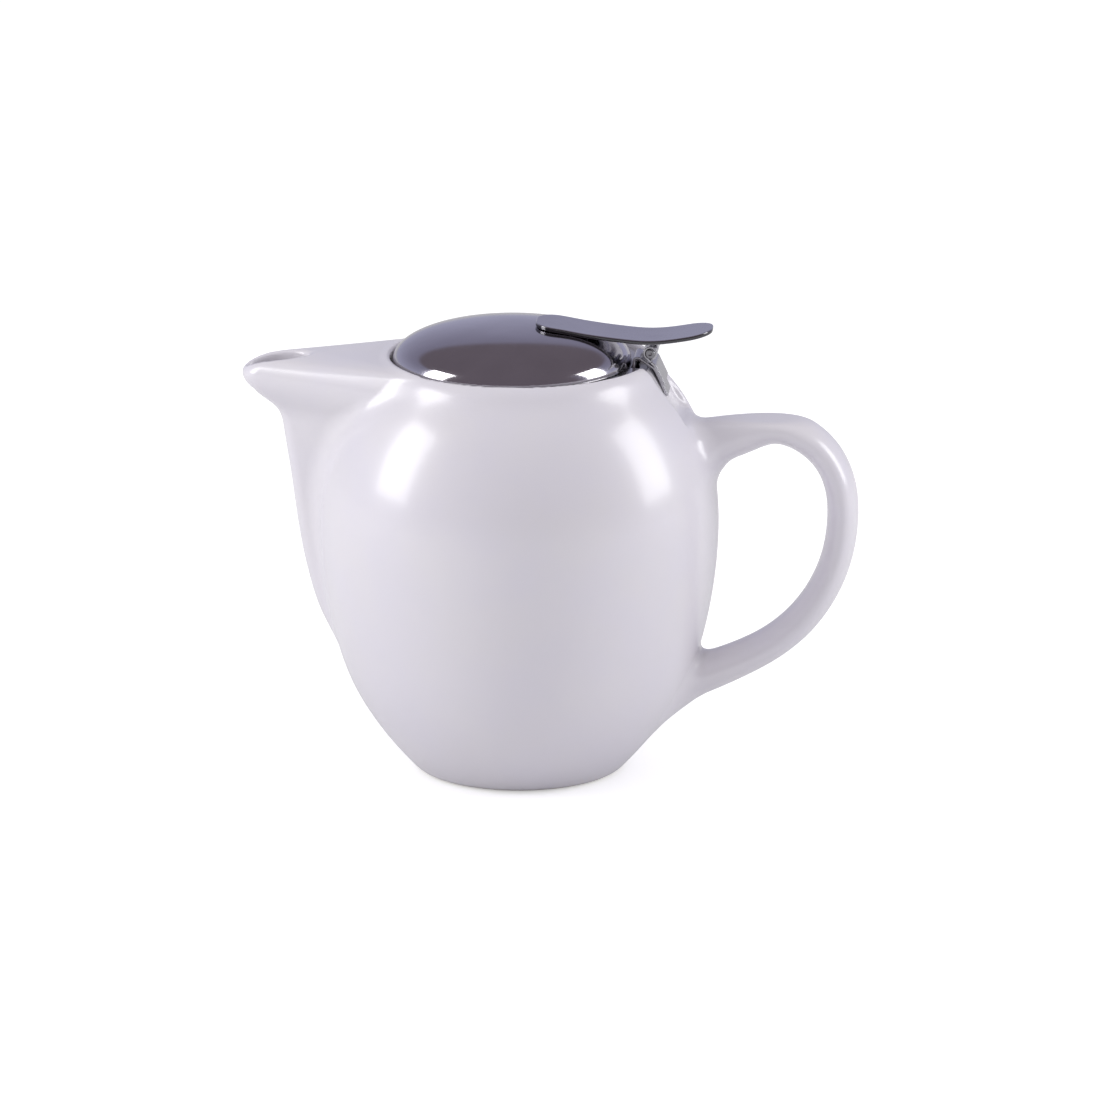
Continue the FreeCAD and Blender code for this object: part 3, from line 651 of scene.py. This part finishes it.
def glaze_material(settings):
    """White glaze over bare biscuit on the standing ring."""
    material, tree, shader = new_material("White glaze", IOR=1.62, Coat_Roughness=0.16)
    link = tree.links.new
    cloud = use_group(tree, cloud_group(), {"Slow scale": 45.0, "Fine scale": 700.0})
    place = node(tree, "ShaderNodeTexCoord")
    split = node(tree, "ShaderNodeSeparateXYZ")
    link(place.outputs["Object"], split.inputs[0])
    glaze = tuple(settings.glaze)
    warm = tuple(c * f for c, f in zip(glaze, (0.985, 0.955, 0.93)))
    cool = tuple(min(1.0, c * f) for c, f in zip(glaze, (0.985, 0.985, 1.01)))
    tone = mixed(tree, ranged(tree, cloud.outputs["Slow"], 0.0, 1.0, 0.35, 0.65), glaze, cool)
    speck = node(tree, "ShaderNodeTexVoronoi", {"Scale": 260.0, "Randomness": 1.0})
    link(place.outputs["Object"], speck.inputs["Vector"])
    spots = ranged(tree, speck.outputs["Distance"], 0.35, 0.0, 0.02, 0.06)
    tone = mixed(tree, spots, tone, warm)
    bare_low = ranged(tree, split.outputs["Z"], 1.0, 0.0, 0.0003, 0.0009)
    link(mixed(tree, bare_low, tone, tuple(settings.biscuit)), shader.inputs["Base Color"])
    rough = node(tree, "ShaderNodeMath", {1: 0.10}, operation="MULTIPLY_ADD")
    link(cloud.outputs["Slow"], rough.inputs[0])
    rough.inputs[2].default_value = settings.gloss - 0.05
    blend = node(tree, "ShaderNodeMix", {3: 0.85})
    link(bare_low, blend.inputs[0])
    link(rough.outputs[0], blend.inputs[2])
    link(blend.outputs[0], shader.inputs["Roughness"])
    link(ranged(tree, bare_low, 0.6, 0.0), shader.inputs["Coat Weight"])
    bumped(tree, shader, cloud.outputs["Height"], 0.10, 0.0002)
    return material


def painted_edge_shade_mask(tree, axis, low, high):
    """Mask for painted shade on side faces: one where a piece's own normal runs along the axis less than low,
    nought where more than high.
    """
    place = node(tree, "ShaderNodeTexCoord")
    split = node(tree, "ShaderNodeSeparateXYZ")
    size = node(tree, "ShaderNodeMath", operation="ABSOLUTE")
    tree.links.new(place.outputs["Normal"], split.inputs[0])
    tree.links.new(split.outputs[axis], size.inputs[0])
    return ranged(tree, size.outputs[0], 1.0, 0.0, low, high)


def steel_material(name, colour, rough, stretch, strength, smudge=0.03, edge=None):
    """Stainless steel with fine lines one way, faint smudges and, if asked for, painted shade darkening the faces
    turned away from an axis.
    """
    material, tree, shader = new_material(name, Metallic=1.0)
    link = tree.links.new
    cloud = use_group(tree, cloud_group(), {"Slow scale": 70.0, "Fine scale": 1500.0})
    lines = use_group(tree, scratch_group(), {"Stretch": stretch, "Scale": 1500.0})
    colour = tuple(colour)
    dull = tuple(c * 0.90 for c in colour)
    tone = mixed(tree, ranged(tree, cloud.outputs["Slow"], 0.0, 1.0, 0.3, 0.7), colour, dull)
    # painted shade: faces turned away from the axis get a near-black copy of the colour
    if edge:
        tone = mixed(tree, painted_edge_shade_mask(tree, *edge), tone, tuple(c * 0.16 for c in colour))
    link(tone, shader.inputs["Base Color"])
    total = node(tree, "ShaderNodeMath", {1: smudge}, operation="MULTIPLY_ADD")
    link(cloud.outputs["Slow"], total.inputs[0])
    fine = ranged(tree, lines.outputs["Mask"], rough, rough + 0.05)
    link(fine, total.inputs[2])
    link(total.outputs[0], shader.inputs["Roughness"])
    bumped(tree, shader, lines.outputs["Lines"], strength, 0.00004)
    return material


MATERIALS = {}


def material_for(key):
    """The named finish, made once."""
    if key not in MATERIALS:
        ceramic, steel = bpy.context.scene.teapot_ceramic, bpy.context.scene.teapot_steel
        recipes = {
            "glaze": lambda: glaze_material(ceramic),
            "lid": lambda: steel_material("Polished lid", steel.lid, steel.polish, (1.0, 0.25, 1.0), 0.05),
            # the lever's side faces are darkened as painted shade
            "lever": lambda: steel_material("Polished lever", steel.strip, 0.12, (0.15, 1.0, 1.0), 0.12,
                                            edge=("Z", 0.35, 0.7)),
            # painted shade: the clip, hinge bracket and lever knuckle use the lever's steel colour at 0.8, and the
            # pin at 0.45
            "strip": lambda: steel_material("Spring strip", tuple(c * 0.8 for c in steel.strip), 0.14,
                                            (0.3, 1.0, 1.0), 0.15),
            "pin": lambda: steel_material("Drawn pin", tuple(c * 0.45 for c in steel.strip), 0.2,
                                          (1, 0.2, 1), 0.2),
            "stamped": lambda: steel_material("Stamped infuser", steel.infuser, 0.2, (1.0, 1.0, 0.15), 0.2),
            "wire": lambda: steel_material("Woven wire", steel.infuser, 0.26, (1.0, 1.0, 1.0), 0.1),
        }
        MATERIALS[key] = recipes[key]()
    return MATERIALS[key]


# ---- operators ---------------------------------------------------------------------------------------
class TEAPOT_OT_ceramic(bpy.types.Operator):
    """Builds the fired pot: body, spout and handle in one glazed skin"""
    bl_idname = "teapot.ceramic"
    bl_label = "Ceramic pot"

    def execute(self, context):
        settings = context.scene.teapot_ceramic
        fine = settings.grid / MM
        blend = settings.spout_blend / MM

        def field(x, y, z):
            return ceramic_field(np.asarray(x, float), np.asarray(y, float), np.asarray(z, float), blend)

        xs = graded((-76.5, 92.5, fine))
        ys = graded((-fine / 2, 56.0, fine))
        zs = graded((-1.0, 4.0, fine * 0.75), (4.0, 92.0, fine * 1.7), (92.0, 115.0, fine * 0.85))
        gx, gy, gz = (a.ravel() for a in np.meshgrid(xs, ys, zs, indexing="ij"))
        values = field(gx, gy, gz).reshape(len(xs), len(ys), len(zs))
        points, faces = net(values, (xs, ys, zs))
        middle = np.abs(points[:, 1]) < fine * 0.5 - 1e-6
        points[middle, 1] = 0
        points = settle(field, points, 2)
        for _ in range(4):
            points = even_out(points, faces)
            points[middle, 1] = 0
            points = settle(field, points, 1)
        points = settle(field, points, 3)
        points[middle, 1] = 0
        normals = slope_of(field, points)
        normals[middle, 1] = 0
        normals /= np.linalg.norm(normals, axis=1)[:, None]
        other = np.arange(len(points))
        other[~middle] = len(points) + np.arange((~middle).sum())
        flip = np.array([1.0, -1.0, 1.0])
        points = np.vstack([points, points[~middle] * flip])
        normals = np.vstack([normals, normals[~middle] * flip])
        faces = np.vstack([faces, other[faces][:, ::-1]])
        new_piece("Pot_ceramic", points, faces, "pot", "ceramic_body",
                  ("pot_base", "pot_body", "pot_shoulder", "spout", "handle"), material_for("glaze"), normals)
        return {"FINISHED"}


def dome_line(radius, height, steps):
    """Quarter of the dome's section from the crown to the edge, as radius, Z."""
    t = np.linspace(0, math.pi / 2, steps)
    power = 2 / 2.2
    return np.stack([radius * np.sin(t) ** power, LID_Z + height * np.clip(np.cos(t), 0, 1) ** power], 1)


class TEAPOT_OT_lid(bpy.types.Operator):
    """Builds the pressed steel dome with its turned-in edge"""
    bl_idname = "teapot.lid"
    bl_label = "Lid dome"

    def execute(self, context):
        sheet, hem = 0.8, 2.0
        outside = dome_line(LID_R, LID_H, 90)[1:]
        inside = dome_line(LID_R - sheet, LID_H - sheet, 70)[1:]
        outside = outside[outside[:, 1] > LID_Z + 0.45]
        inside = inside[inside[:, 1] > LID_Z + sheet + 0.2]
        low, high = LID_Z, LID_Z + sheet
        edge = rounded_outline(
            [outside[-1], (LID_R, low), (LID_R - hem, low), (LID_R - hem, high), (LID_R - sheet, high), inside[-1]],
            [0, 0.3, 0.25, 0.25, 0.1, 0], 5, False)
        outline = np.vstack([[(0.0, LID_Z + LID_H)], outside, edge[1:-1], inside[::-1],
                             [(0.0, LID_Z + LID_H - sheet)]])
        points, faces = turned(outline, 240, (LID_X, 0.0))
        new_piece("Lid_dome", points, faces, "lid", "lid_steel", ("lid_dome",), material_for("lid"))
        return {"FINISHED"}


def lever_height(x):
    line = smooth_line(LEVER_TOP)
    slope = np.gradient(line[:, 1], line[:, 0])
    return np.interp(x, line[:, 0], line[:, 1]), np.interp(x, line[:, 0], slope)


class TEAPOT_OT_lever(bpy.types.Operator):
    """Builds the curved thumb lever as a plate with rounded ends and edges"""
    bl_idname = "teapot.lever"
    bl_label = "Thumb lever"

    def execute(self, context):
        x0, x1, half_w, edge = LEVER_TOP[0][0], LEVER_TOP[-1][0], 8.0, 0.38
        front_r, tail_r = 5.7, 6.6
        loops = []
        around = [(0.0, 0.0), (0.08, 0.42), (0.25, 0.75), (0.5, 0.93), (1.0, 1.0)]
        insets = [(edge * a, edge * (1 - b)) for a, b in around]
        insets += [(inset, 0.0) for inset in (0.9, 1.8, 3.0, 4.2, 5.4)]
        per_corner, per_side = 12, 40
        for inset, drop in insets:
            xa, xb, w = x0 + inset, x1 - inset, half_w - inset
            ra, rb = front_r - inset, tail_r - inset
            loop = []
            for cx, cy, r, start in ((xb - rb, w - rb, rb, 0.0), (xa + ra, w - ra, ra, 0.5),
                                     (xa + ra, ra - w, ra, 1.0), (xb - rb, rb - w, rb, 1.5)):
                angles = (start + np.linspace(0, 0.5, per_corner)) * math.pi
                loop.append(np.stack([cx + r * np.cos(angles), cy + r * np.sin(angles)], 1))
            full = []
            for i, part in enumerate(loop):
                following = loop[(i + 1) % 4]
                inner = per_side if i in (0, 2) else 4
                gap = np.linspace(part[-1], following[0], inner + 2)[1:-1]
                full += [part, gap]
            loops.append((np.vstack(full), drop))
        count = len(loops[0][0])
        rows = [(plan, drop, 1) for plan, drop in reversed(loops)]
        rows += [(plan, drop, -1) for plan, drop in loops[1:]]
        points = []
        for plan, drop, side in rows:
            height, slope = lever_height(plan[:, 0])
            fall = np.sqrt(1 + slope ** 2)
            lift = side * (LEVER_T / 2 - drop)
            middle = height - LEVER_T / 2 * fall
            points.append(np.stack([plan[:, 0], plan[:, 1], middle + lift * fall], 1))
        points = np.vstack(points)
        index = np.arange(len(points)).reshape(-1, count)
        side = between(index)
        faces = [list(f) for f in outwards(points, side)]
        flipped = faces[0][0] != side[0, 0]
        for ring in (index[0], index[-1][::-1]):
            faces += self.plug(list(ring[::-1] if flipped else ring), count)
        piece = new_piece("Thumb_lever", points, faces, "lid", "lever_steel", ("thumb_lever",),
                          material_for("lever"))
        weight_normals(piece)
        return {"FINISHED"}

    @staticmethod
    def plug(ring, count):
        """Fills the middle of the plate with faces straight across it, from one end to the other."""
        half = count // 2
        quads = []
        for i in range(half):
            a, b = ring[i], ring[(i + 1) % count]
            c, d = ring[(count - 2 - i) % count], ring[(count - 1 - i) % count]
            if len({a, b, c, d}) == 4:
                quads.append([a, b, c, d])
        return quads


def bent_path(corners, bends, steps=8):
    """Middle line of a bent strip: straight runs and round bends."""
    return rounded_outline(corners, [0] + list(bends) + [0], steps, closed=False)


def resample(path, spacing):
    """Points evenly spaced along a path."""
    path = np.asarray(path, float)
    t = np.concatenate([[0], np.cumsum(np.hypot(*np.diff(path, axis=0).T))])
    keep = np.concatenate([[True], np.diff(t) > 1e-6])
    t, path = t[keep], path[keep]
    s = np.linspace(0, t[-1], max(3, int(round(t[-1] / spacing)) + 1))
    return np.stack([np.interp(s, t, path[:, 0]), np.interp(s, t, path[:, 1])], 1)


def roll_path(start_deg, sweep_deg, steps=40):
    """Clockwise arc round the pin at the middle of a rolled strip."""
    a = np.radians(start_deg - np.linspace(0, sweep_deg, steps))
    return np.stack([PIN_X + ROLL_MID_R * np.cos(a), PIN_Z + ROLL_MID_R * np.sin(a)], 1)


class TEAPOT_OT_hinge(bpy.types.Operator):
    """Builds the spring clip, the hinge leaf with its knuckles, the lever's knuckle and the pin"""
    bl_idname = "teapot.hinge"
    bl_label = "Clip and hinge"

    def execute(self, context):
        edge = 0.14
        clip = swept(resample(bent_path(CLIP_CORNERS, (1.0, 2.0)), 0.3), CLIP_HALF_W, SHEET, edge)
        weight_normals(new_piece("Clip_spring", *clip, "clip", "clip_steel", ("clip_spring",),
                                 material_for("strip")))
        leaf, foot_start = self.leaf_path()
        roll_start = 90 + math.degrees(foot_start)
        roll = roll_path(roll_start, 300)
        far = np.hypot(leaf[:, 0] - PIN_X, leaf[:, 1] - PIN_Z) > ROLL_OUT_R + 0.35
        last = int(np.argmin(far)) if not far.all() else len(leaf)
        plate = swept(leaf[:last], HINGE_HALF_W, SHEET, edge)
        inner = LEVER_ROLL_HALF_W + 0.3
        half = (HINGE_HALF_W - inner) / 2
        tail = np.vstack([leaf[last - 1:-1], roll])
        sides = [swept(resample(tail, 0.25), half, SHEET, edge, s * (inner + half)) for s in (-1, 1)]
        weight_normals(new_piece("Hinge_bracket", *joined(plate, *sides), "clip", "clip_steel",
                                 ("hinge_bracket",), material_for("strip")))
        wall_x = PIN_X + ROLL_MID_R
        pad, top = ((x, lever_height(x)[0] - LEVER_T - SHEET / 2 - LEVER_WELD_GAP)
                    for x in (wall_x + 4.5, wall_x))
        stem = bent_path([pad, top, (wall_x, PIN_Z)], (0.6,))
        path = np.vstack([stem[:-1], roll_path(0, 290)])
        knuckle = swept(resample(path, 0.25), LEVER_ROLL_HALF_W, SHEET, edge)
        weight_normals(new_piece("Lever_knuckle", *knuckle, "lid", "lever_steel", ("lever_knuckle",),
                                 material_for("strip")))
        self.pin()
        return {"FINISHED"}

    @staticmethod
    def leaf_path():
        """Middle of the hinge leaf from its foot to where it meets the roll, and its direction there."""
        a, b = (np.array(c) for c in CLIP_CORNERS[-2:])
        down = (b - a) / np.linalg.norm(b - a)
        beside = b + np.array([-down[1], down[0]]) * SHEET
        foot, top = (beside + down * ((z - beside[1]) / down[1]) for z in (LEAF_FOOT_Z, LEAF_TOP_Z))
        reach = math.hypot(PIN_X - top[0], PIN_Z - top[1])
        lean = math.atan2(PIN_Z - top[1], PIN_X - top[0]) + math.asin(ROLL_MID_R / reach)
        touch = top + math.sqrt(reach ** 2 - ROLL_MID_R ** 2) * np.array([math.cos(lean), math.sin(lean)])
        return resample(bent_path([foot, top, touch], (2.5,)), 0.2), lean

    @staticmethod
    def pin():
        half, head_t, head_r = HINGE_HALF_W + 0.15, 0.5, 1.45
        one = [(0.0, half + 0.2), (0.5, half + head_t - 0.02), (head_r - 0.35, half + head_t), (head_r, half),
               (PIN_R, half)]
        radii = [0, 0.1, 0.2, 0.12, 0.05]
        other = [(r, -z) for r, z in reversed(one)]
        outline = rounded_outline(one + other, radii + radii[::-1], 3, closed=False)
        points, faces = turned(outline, 32)
        points = np.stack([points[:, 0] + PIN_X, points[:, 2], PIN_Z - points[:, 1]], 1)
        weight_normals(new_piece("Hinge_pin", points, faces, "clip", "pin_steel", ("hinge_pin",),
                                 material_for("pin")))


def wire_tubes(paths, radius, closed):
    """Thin four-sided tubes along several paths of the same length."""
    paths = np.asarray(paths, float)
    ahead = np.roll(paths, -1, 1) - np.roll(paths, 1, 1)
    if not closed:
        ahead[:, 0] = paths[:, 1] - paths[:, 0]
        ahead[:, -1] = paths[:, -1] - paths[:, -2]
    ahead /= np.linalg.norm(ahead, axis=2)[..., None]
    up = np.where(np.abs(ahead[..., 2:3]) > 0.7, np.array([1.0, 0.3, 0.0]), np.array([0.0, 0.0, 1.0]))
    side = np.cross(ahead, up)
    side /= np.linalg.norm(side, axis=2)[..., None]
    other = np.cross(ahead, side)
    rings = np.stack([paths + radius * side, paths + radius * other, paths - radius * side,
                      paths - radius * other], 2)
    wires, count = paths.shape[:2]
    index = np.arange(wires * count * 4).reshape(wires, count, 4)
    if closed:
        ahead_index = np.roll(index, -1, 1)
    else:
        index, ahead_index = index[:, :-1], index[:, 1:]
    faces = np.stack([index, ahead_index, np.roll(ahead_index, -1, 2), np.roll(index, -1, 2)], -1)
    return rings.reshape(-1, 3), faces.reshape(-1, 4)[:, ::-1]


class TEAPOT_OT_infuser(bpy.types.Operator):
    """Builds the infuser: flange and collar, woven wall and floor, seam strip and bottom ring"""
    bl_idname = "teapot.infuser"
    bl_label = "Infuser"

    def execute(self, context):
        settings = context.scene.teapot_mesh
        pitch, radius = settings.pitch / MM, settings.wire / MM / 2
        self.rim()
        self.wall(pitch, radius)
        self.cup()
        self.floor(pitch, radius)
        self.seam()
        return {"FINISHED"}

    @staticmethod
    def rim():
        top, inner = SEAT_Z + FLANGE_T, COLLAR_R - COLLAR_T
        outline = rounded_outline(
            [(FLANGE_R, SEAT_Z), (FLANGE_R, top), (inner, top), (inner, COLLAR_BOTTOM_Z),
             (COLLAR_R, COLLAR_BOTTOM_Z), (COLLAR_R, SEAT_Z)], [0.25, 0.25, 1.1, 0.12, 0.12, 0.3], 5)

        def reach(r, angle):
            """Flattens the flange into a notch for the clip's inner leg."""
            a = (angle + math.pi) % (2 * math.pi) - math.pi
            if abs(a) > math.asin(NOTCH_HALF_W / 32.0):
                return r
            return np.where(r > NOTCH_X, np.minimum(r, NOTCH_X / math.cos(a) + (r - NOTCH_X) * 0.01), r)

        points, faces = turned(outline, 720, (0.0, 0.0), reach)
        piece = new_piece("Infuser_rim", points, faces, "infuser", "infuser_steel", ("infuser_rim",),
                          material_for("stamped"))
        weight_normals(piece)

    @staticmethod
    def wall(pitch, radius):
        middle, low, high = 28.65, 50.6, 107.6
        rings = int(round((high - low) / pitch))
        posts = int(round(2 * math.pi * middle / pitch / 2)) * 2
        angle = np.arange(posts) * 2 * math.pi / posts
        level = low + (np.arange(rings) + 0.5) * (high - low) / rings
        wave = np.where((np.arange(posts)[:, None] + np.arange(rings)) % 2, 1.0, -1.0) * radius * WEAVE
        r = middle + wave
        upright = np.stack([r * np.cos(angle)[:, None], r * np.sin(angle)[:, None],
                            np.broadcast_to(level, r.shape)], -1)
        r = (middle - wave).T
        round_way = np.stack([r * np.cos(angle), r * np.sin(angle),
                              np.broadcast_to(level[:, None], r.shape)], -1)
        made = joined(wire_tubes(upright, radius, False), wire_tubes(round_way, radius, True))
        new_piece("Infuser_wires", *made, "infuser", "infuser_mesh", ("infuser_mesh",), material_for("wire"))

    @staticmethod
    def cup():
        wall, thick, corner, low, hole = 28.9, 0.4, 4.0, BASKET_BOTTOM_Z, 22.5
        outline = rounded_outline(
            [(wall, CUP_TOP_Z), (wall + thick, CUP_TOP_Z), (wall + thick, low), (hole, low),
             (hole, low + thick), (wall, low + thick)], [0.12, 0.12, corner + thick, 0.12, 0.12, corner], 8)
        piece = new_piece("Infuser_cup", *turned(outline, 192), "infuser", "infuser_steel", ("infuser_cup",),
                          material_for("stamped"))
        weight_normals(piece)

    @staticmethod
    def floor(pitch, radius):
        reach, level = 24.2, 46.4 + 0.25
        count = int(reach / pitch)
        lines = np.arange(-count, count + 1) * pitch
        meshes = []
        for way in (0, 1):
            for i, at in enumerate(lines):
                half = math.sqrt(max(reach ** 2 - at ** 2, 0.0))
                inside = np.abs(lines) < half
                if inside.sum() < 3:
                    continue
                along = lines[inside]
                sign = np.where((np.arange(len(lines))[inside] + i + way) % 2, 1.0, -1.0)
                path = np.empty((1, len(along), 3))
                path[0, :, way] = along
                path[0, :, 1 - way] = at
                path[0, :, 2] = level + sign * radius * WEAVE
                meshes.append(wire_tubes(path, radius, False))
        new_piece("Infuser_floor_wires", *joined(*meshes), "infuser", "infuser_mesh", ("infuser_floor",),
                  material_for("wire"))

    @staticmethod
    def seam():
        inner, thick, half = 28.4, 0.3, 3.0
        angles = np.linspace(-half / inner, half / inner, 9)
        ring = [(inner, a) for a in angles] + [(inner - thick, a) for a in angles[::-1]]
        levels = np.linspace(53.5, 103.5, 26)
        points = np.array([(r * math.cos(a), r * math.sin(a), z) for z in levels for r, a in ring])
        index = np.arange(len(points)).reshape(-1, len(ring))
        faces = [list(f) for f in between(index)[:, ::-1]] + [list(index[0]), list(index[-1][::-1])]
        piece = new_piece("Infuser_seam", points, faces, "infuser", "infuser_steel", ("infuser_seam",),
                          material_for("stamped"))
        bevel = piece.modifiers.new("Soft edges", "BEVEL")
        bevel.width = 0.00006
        bevel.segments = 2
        bevel.limit_method = "ANGLE"
        weight_normals(piece)


def area_light(name, place, aim, width, height, power):
    data = bpy.data.lights.new(name, "AREA")
    data.shape = "RECTANGLE"
    data.size, data.size_y = width, height
    data.energy = power
    lamp = bpy.data.objects.new(name, data)
    bpy.context.scene.collection.objects.link(lamp)
    lamp.location = place
    lamp.rotation_euler = (Vector(aim) - Vector(place)).to_track_quat("-Z", "Y").to_euler()


class TEAPOT_OT_stage(bpy.types.Operator):
    """Builds the floor, the studio light and the camera"""
    bl_idname = "teapot.stage"
    bl_label = "Stage"

    def execute(self, context):
        settings = context.scene.teapot_stage
        self.floor(settings)
        self.world(context)
        self.lights()
        self.camera(context, settings)
        context.scene.view_settings.view_transform = "Standard"
        return {"FINISHED"}

    @staticmethod
    def floor(settings):
        half = 6.0
        mesh = bpy.data.meshes.new("Floor")
        corners = [(-half, -half, 0), (half, -half, 0), (half, half, 0), (-half, half, 0)]
        mesh.from_pydata(corners, [], [(0, 1, 2, 3)])
        material, tree, shader = new_material("Pale floor", Roughness=0.9)
        shader.inputs["Specular IOR Level"].default_value = 0.1
        shader.inputs["Emission Color"].default_value = (0.48, 0.48, 0.48, 1.0)
        path = node(tree, "ShaderNodeLightPath")
        tree.links.new(path.outputs["Is Camera Ray"], shader.inputs["Emission Strength"])
        cloud = use_group(tree, cloud_group(), {"Slow scale": 6.0, "Fine scale": 300.0})
        pale = tuple(settings.floor)
        tree.links.new(mixed(tree, cloud.outputs["Slow"], pale, tuple(c * 0.985 for c in pale)),
                       shader.inputs["Base Color"])
        mesh.materials.append(material)
        floor = bpy.data.objects.new("Floor", mesh)
        bpy.context.scene.collection.objects.link(floor)
        floor.location.z = -0.0002

    @staticmethod
    def world(context):
        world = bpy.data.worlds.new("Studio")
        context.scene.world = world
        world.use_nodes = True
        tree = world.node_tree
        link = tree.links.new
        out = tree.nodes["World Output"]
        plain = tree.nodes["Background"]
        plain.inputs["Strength"].default_value = 1.0
        seen = node(tree, "ShaderNodeBackground", {"Color": (1, 1, 1, 1), "Strength": 1.0})
        room = node(tree, "ShaderNodeBackground", {"Strength": 1.0})
        place = node(tree, "ShaderNodeTexCoord")
        split = node(tree, "ShaderNodeSeparateXYZ")
        link(place.outputs["Generated"], split.inputs[0])
        above = ranged(tree, split.outputs["Z"], 0.0, 1.0, -0.2, 0.8)
        link(mixed(tree, above, (0.35, 0.34, 0.37), (0.74, 0.73, 0.75)), plain.inputs["Color"])
        high = ranged(tree, split.outputs["Z"], 0.0, 1.0, 0.54, 0.60)
        horizon = ranged(tree, split.outputs["Z"], 1.0, 0.0, 0.12, 0.50)
        side = mixed(tree, horizon, (0.25, 0.24, 0.33), (0.40, 0.40, 0.53))
        sky = mixed(tree, high, side, (0.155, 0.13, 0.155))
        front = ranged(tree, split.outputs["Y"], 1.0, 0.0, -0.35, 0.0)
        room_colour = mixed(tree, front, sky, (0.155, 0.13, 0.155))
        low = ranged(tree, split.outputs["Z"], 1.0, 0.0, -0.02, 0.08)
        link(mixed(tree, low, room_colour, (0.55, 0.55, 0.58)), room.inputs["Color"])
        path = node(tree, "ShaderNodeLightPath")
        glossy = node(tree, "ShaderNodeMixShader")
        camera = node(tree, "ShaderNodeMixShader")
        link(path.outputs["Is Glossy Ray"], glossy.inputs["Fac"])
        link(plain.outputs[0], glossy.inputs[1])
        link(room.outputs[0], glossy.inputs[2])
        link(path.outputs["Is Camera Ray"], camera.inputs["Fac"])
        link(glossy.outputs[0], camera.inputs[1])
        link(seen.outputs[0], camera.inputs[2])
        link(camera.outputs[0], out.inputs["Surface"])

    @staticmethod
    def lights():
        aim = (0.0, 0.0, 0.06)
        area_light("Left box", (-1.05, -0.27, 0.56), aim, 0.5, 0.75, 6.2)
        area_light("Right box", (1.10, 0.06, 0.52), aim, 0.5, 0.75, 5.1)

    @staticmethod
    def camera(context, settings):
        a, e = settings.azimuth, settings.elevation
        back = Vector((math.sin(a) * math.cos(e), -math.cos(a) * math.cos(e), math.sin(e)))
        right = Vector((math.cos(a), math.sin(a), 0.0))
        up = back.cross(right)
        target = Vector((0.0, 0.0, 0.058)) + right * 0.0082 + up * 0.0013
        data = bpy.data.cameras.new("Camera")
        data.sensor_width = 36.0
        data.lens = 219.7
        data.clip_end = 50.0
        camera = bpy.data.objects.new("Camera", data)
        context.scene.collection.objects.link(camera)
        camera.location = target + back * settings.distance
        camera.rotation_euler = (-back).to_track_quat("-Z", "Y").to_euler()
        context.scene.camera = camera


class TEAPOT_PT_panel(bpy.types.Panel):
    """Lists the pieces of the teapot"""
    bl_idname = "TEAPOT_PT_panel"
    bl_label = "Teapot infuser"
    bl_space_type = "VIEW_3D"
    bl_region_type = "UI"
    bl_category = "Teapot"

    def draw(self, context):
        scene = context.scene
        for label, settings, operators in (
                ("Ceramic", scene.teapot_ceramic, (TEAPOT_OT_ceramic,)),
                ("Steel", scene.teapot_steel, (TEAPOT_OT_lid, TEAPOT_OT_lever, TEAPOT_OT_hinge)),
                ("Infuser", scene.teapot_mesh, (TEAPOT_OT_infuser,)),
                ("Stage", scene.teapot_stage, (TEAPOT_OT_stage,))):
            box = self.layout.box()
            box.label(text=label)
            for name in type(settings).__annotations__:
                box.prop(settings, name)
            for operator in operators:
                box.operator(operator.bl_idname)


OPERATORS = (TEAPOT_OT_stage, TEAPOT_OT_ceramic, TEAPOT_OT_lid, TEAPOT_OT_lever, TEAPOT_OT_hinge,
             TEAPOT_OT_infuser)
GROUPS = {"teapot_ceramic": CeramicSettings, "teapot_steel": SteelSettings, "teapot_mesh": MeshSettings,
          "teapot_stage": StageSettings}
CLASSES = (*GROUPS.values(), *OPERATORS, TEAPOT_PT_panel)


def register():
    for cls in CLASSES:
        bpy.utils.register_class(cls)
    for name, cls in GROUPS.items():
        setattr(bpy.types.Scene, name, bpy.props.PointerProperty(type=cls))


def unregister():
    for name in GROUPS:
        delattr(bpy.types.Scene, name)
    for cls in reversed(CLASSES):
        bpy.utils.unregister_class(cls)


def main():
    register()
    bpy.ops.teapot.stage()
    bpy.ops.teapot.ceramic()
    bpy.ops.teapot.lid()
    bpy.ops.teapot.lever()
    bpy.ops.teapot.hinge()
    bpy.ops.teapot.infuser()
    bpy.context.view_layer.update()


if __name__ == "__main__":
    main()
